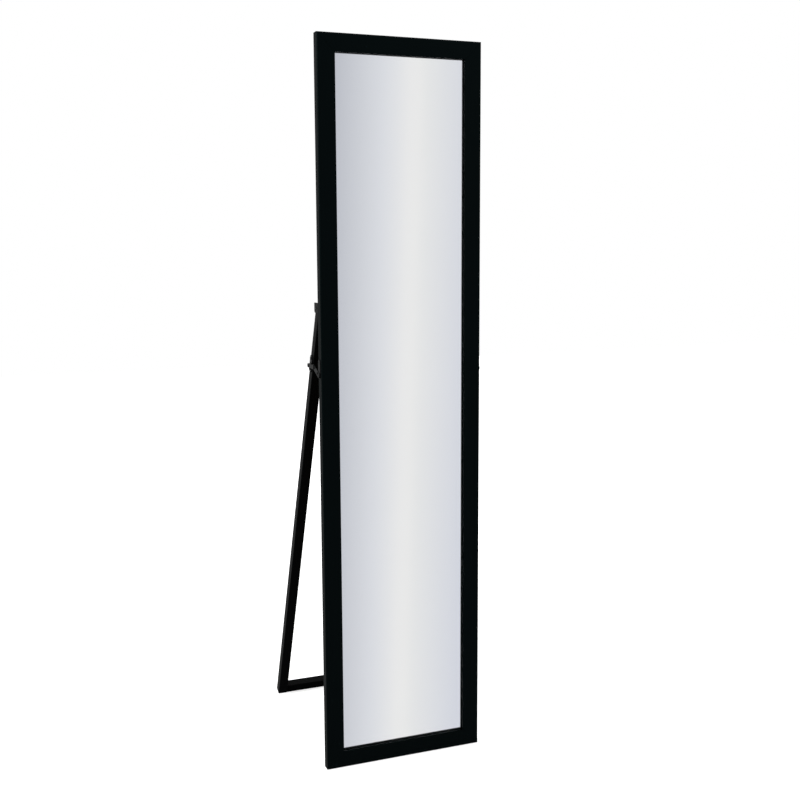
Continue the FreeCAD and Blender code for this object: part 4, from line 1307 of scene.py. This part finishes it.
bpy.ops.mesh.primitive_plane_add(size=FLOOR_SIDE, location=(0.0, 0.0, 0.0))
floor = bpy.context.object
floor.name = "floor"
floor_material, recipe = new_finish("pale_floor")
place = recipe.node("TexCoord", output="Object")
speckle = noise(recipe, place, SPECKLE_SCALE)
floor_colour = blend_colours(recipe, speckle, FLOOR_DARK, FLOOR_LIGHT)
lit_floor = recipe.node("BsdfDiffuse", inputs={"Color": floor_colour})
from_middle = recipe.node("VectorMath", {"operation": "LENGTH"}, {0: place}, "Value")
glow = fade(recipe, from_middle, GLOW_GROWS_FROM, GLOW_GROWS_TO, GLOW_NEAR, GLOW_FAR)
glowing = recipe.node("Emission", inputs={"Color": WHITE, "Strength": glow})
seen_floor = recipe.node("AddShader", inputs={0: lit_floor, 1: glowing})
camera_ray = recipe.node("LightPath", output="Is Camera Ray")
plain_or_seen = either(recipe, camera_ray, lit_floor, seen_floor)
no_floor = recipe.node("BsdfTransparent")
floor_shader = either(recipe, mirrored_ray(recipe), plain_or_seen, no_floor)
recipe.node("OutputMaterial", inputs={"Surface": floor_shader})
floor.data.materials.append(floor_material)
print("floor:", FLOOR_SIDE, "m square")

# %% [markdown]
# ## The room that the glass sees
#
# The room shows only as a reflection in the glass and as a shine on the paint. Walls could be
# modelled for that, but a world of a few soft colours has no edges to show in the glass. Two
# angles say where a ray goes. In front is a grey room with one broad pale band that leans a
# little, which puts the gentle gradient in the glass. Further round, the room is pale to the
# left, so the left side of the frame shines, and dim to the right, so the bar stays black. It is
# bright overhead and dark below.

# %% Two angles for every direction

world = bpy.data.worlds.new("studio")
bpy.context.scene.world = world
room = Recipe(world)
direction = room.node("TexCoord", output="Generated")
rightward, backward, upward = [
    room.node("SeparateXYZ", inputs={"Vector": direction}, output=axis) for axis in "XYZ"
]
azimuth = room.maths("ARCTAN2", rightward, 0.0 - backward) * math.degrees(1)
elevation = room.maths("ARCSINE", upward) * math.degrees(1)
print("angles: 0, 0 is straight in front of the mirror")

# %% The pale band in front

BAND_AZIMUTH = 21.66
BAND_LEAN = 0.034
RAMP_FROM, RAMP_TO = -40.0, 80.0
BAND_COLOURS = [
    (-30.0, (0.44, 0.45, 0.49)),
    (BAND_AZIMUTH - 4.5, (0.50, 0.51, 0.57)),
    (BAND_AZIMUTH - 1.5, (0.745, 0.75, 0.80)),
    (BAND_AZIMUTH, (0.88, 0.865, 0.87)),
    (BAND_AZIMUTH + 0.7, (0.82, 0.815, 0.83)),
    (BAND_AZIMUTH + 3.0, (0.69, 0.70, 0.775)),
    (60.0, (0.50, 0.51, 0.56)),
]


def ramp_place(degrees):
    """Where an angle, plain or a signal, lies along the band's colour ramp."""
    return (degrees - RAMP_FROM) / (RAMP_TO - RAMP_FROM)


band_stops = [(ramp_place(degrees), colour) for degrees, colour in BAND_COLOURS]
band_place = ramp_place(azimuth - elevation * BAND_LEAN)
band_colour = room.node("ValToRGB", {"stops": band_stops}, {0: band_place})
print("band at", BAND_AZIMUTH, "degrees")

# %% The rest of the way round

LEFT_LIGHT = grey(0.6)
RIGHT_LIGHT = grey(0.05)
SIDE_GREY = (0.46, 0.47, 0.50)
ROUND_COLOURS = [
    (-180.0, grey(0.35)),
    (-162.0, LEFT_LIGHT),
    (-108.0, LEFT_LIGHT),
    (-64.8, SIDE_GREY),
    (57.6, SIDE_GREY),
    (108.0, RIGHT_LIGHT),
    (162.0, RIGHT_LIGHT),
    (180.0, grey(0.4)),
]
ROUND_FROM, ROUND_TO = 62.0, 95.0


def round_place(degrees):
    """Where an angle, plain or a signal, lies on the whole way round."""
    return degrees / 360.0 + 0.5


round_stops = [(round_place(degrees), colour) for degrees, colour in ROUND_COLOURS]
round_colour = room.node("ValToRGB", {"stops": round_stops}, {0: round_place(azimuth)})
is_round = fade(room, abs(azimuth), ROUND_FROM, ROUND_TO)
level_colour = blend_colours(room, is_round, band_colour, round_colour)
print("left:", LEFT_LIGHT[0], "right:", RIGHT_LIGHT[0])

# %% Overhead, below, and what the camera sees

WORLD_AMBIENT = 0.55
HIGH_LIGHT = grey(1.4)
LOW_LIGHT = grey(0.12)
HIGH_FROM, HIGH_TO = 36.0, 60.0
LOW_FROM, LOW_TO = -28.0, -46.0


def background(colour, strength):
    """A plain world of one colour."""
    return room.node("Background", inputs={"Color": colour, "Strength": strength})


is_high = fade(room, elevation, HIGH_FROM, HIGH_TO)
is_low = fade(room, elevation, LOW_FROM, LOW_TO)
upper_colour = blend_colours(room, is_high, level_colour, HIGH_LIGHT)
room_colour = blend_colours(room, is_low, upper_colour, LOW_LIGHT)
ambient = background(WHITE, WORLD_AMBIENT)
lit_or_mirrored = either(room, mirrored_ray(room), ambient, background(room_colour, 1.0))
camera_ray = room.node("LightPath", output="Is Camera Ray")
room_shader = either(room, camera_ray, lit_or_mirrored, background(WHITE, 1.0))
room.node("OutputWorld", inputs={"Surface": room_shader})
print("world: ambient", WORLD_AMBIENT)

# %% [markdown]
# ## Lamps
#
# The world alone would light every side alike, and the mouldings would lose their form. Small
# lamps would give them hard bright spots and the floor hard shadows. So three large soft lamps
# are used: the strongest from the left, a weak one from the front on the right, and one from
# behind for the stand.

# %% Lamps

MIRROR_MIDDLE = Vector((0.0, 0.0, 0.8))
LAMPS = [
    ("key", (-2.6, -0.2, 2.6), 1.6, 90.0),
    ("fill", (2.4, -2.2, 3.2), 2.0, 30.0),
    ("back", (1.0, 3.2, 2.8), 2.0, 40.0),
]

for name, place, side, power in LAMPS:
    bpy.ops.object.light_add(type="AREA", location=place)
    lamp = bpy.context.object
    lamp.name = name
    lamp.data.size = side
    lamp.data.energy = power
    lamp.rotation_euler = (MIRROR_MIDDLE - Vector(place)).to_track_quat("-Z", "Y").to_euler()
    print("lamp:", name, power, "W,", side, "m wide")

# %% [markdown]
# ## The camera
#
# The camera could be placed by eye, but then the mirror's slim sides would never quite line up.
# Its place and turn were worked out from the straight edges in the photograph instead. It stands
# to the left of the mirror and above its middle, looks right by twenty-one degrees and down by
# nearly nine.

# %% Camera

CAMERA_PLACE = Vector((-0.8362, -2.36543, 1.16422))
CAMERA_YAW = math.radians(21.098)
CAMERA_PITCH = math.radians(8.754)
CAMERA_ROLL = math.radians(-0.081)
PICTURE_SIDE = 800
FOCAL_PIXELS = 1088.9
SENSOR_WIDTH = 36.0

camera_data = bpy.data.cameras.new("camera")
camera_data.sensor_width = SENSOR_WIDTH
camera_data.lens = FOCAL_PIXELS / PICTURE_SIDE * SENSOR_WIDTH
camera = bpy.data.objects.new("camera", camera_data)
bpy.context.scene.collection.objects.link(camera)
turn_right = Matrix.Rotation(-CAMERA_YAW, 3, "Z")
look_down = Matrix.Rotation(math.radians(90) - CAMERA_PITCH, 3, "X")
roll = Matrix.Rotation(CAMERA_ROLL, 3, "Z")
camera.location = CAMERA_PLACE
camera.rotation_euler = (turn_right @ look_down @ roll).to_euler()
bpy.context.scene.camera = camera
bpy.context.scene.view_settings.view_transform = "Standard"
print("lens:", round(camera_data.lens, 2), "mm")
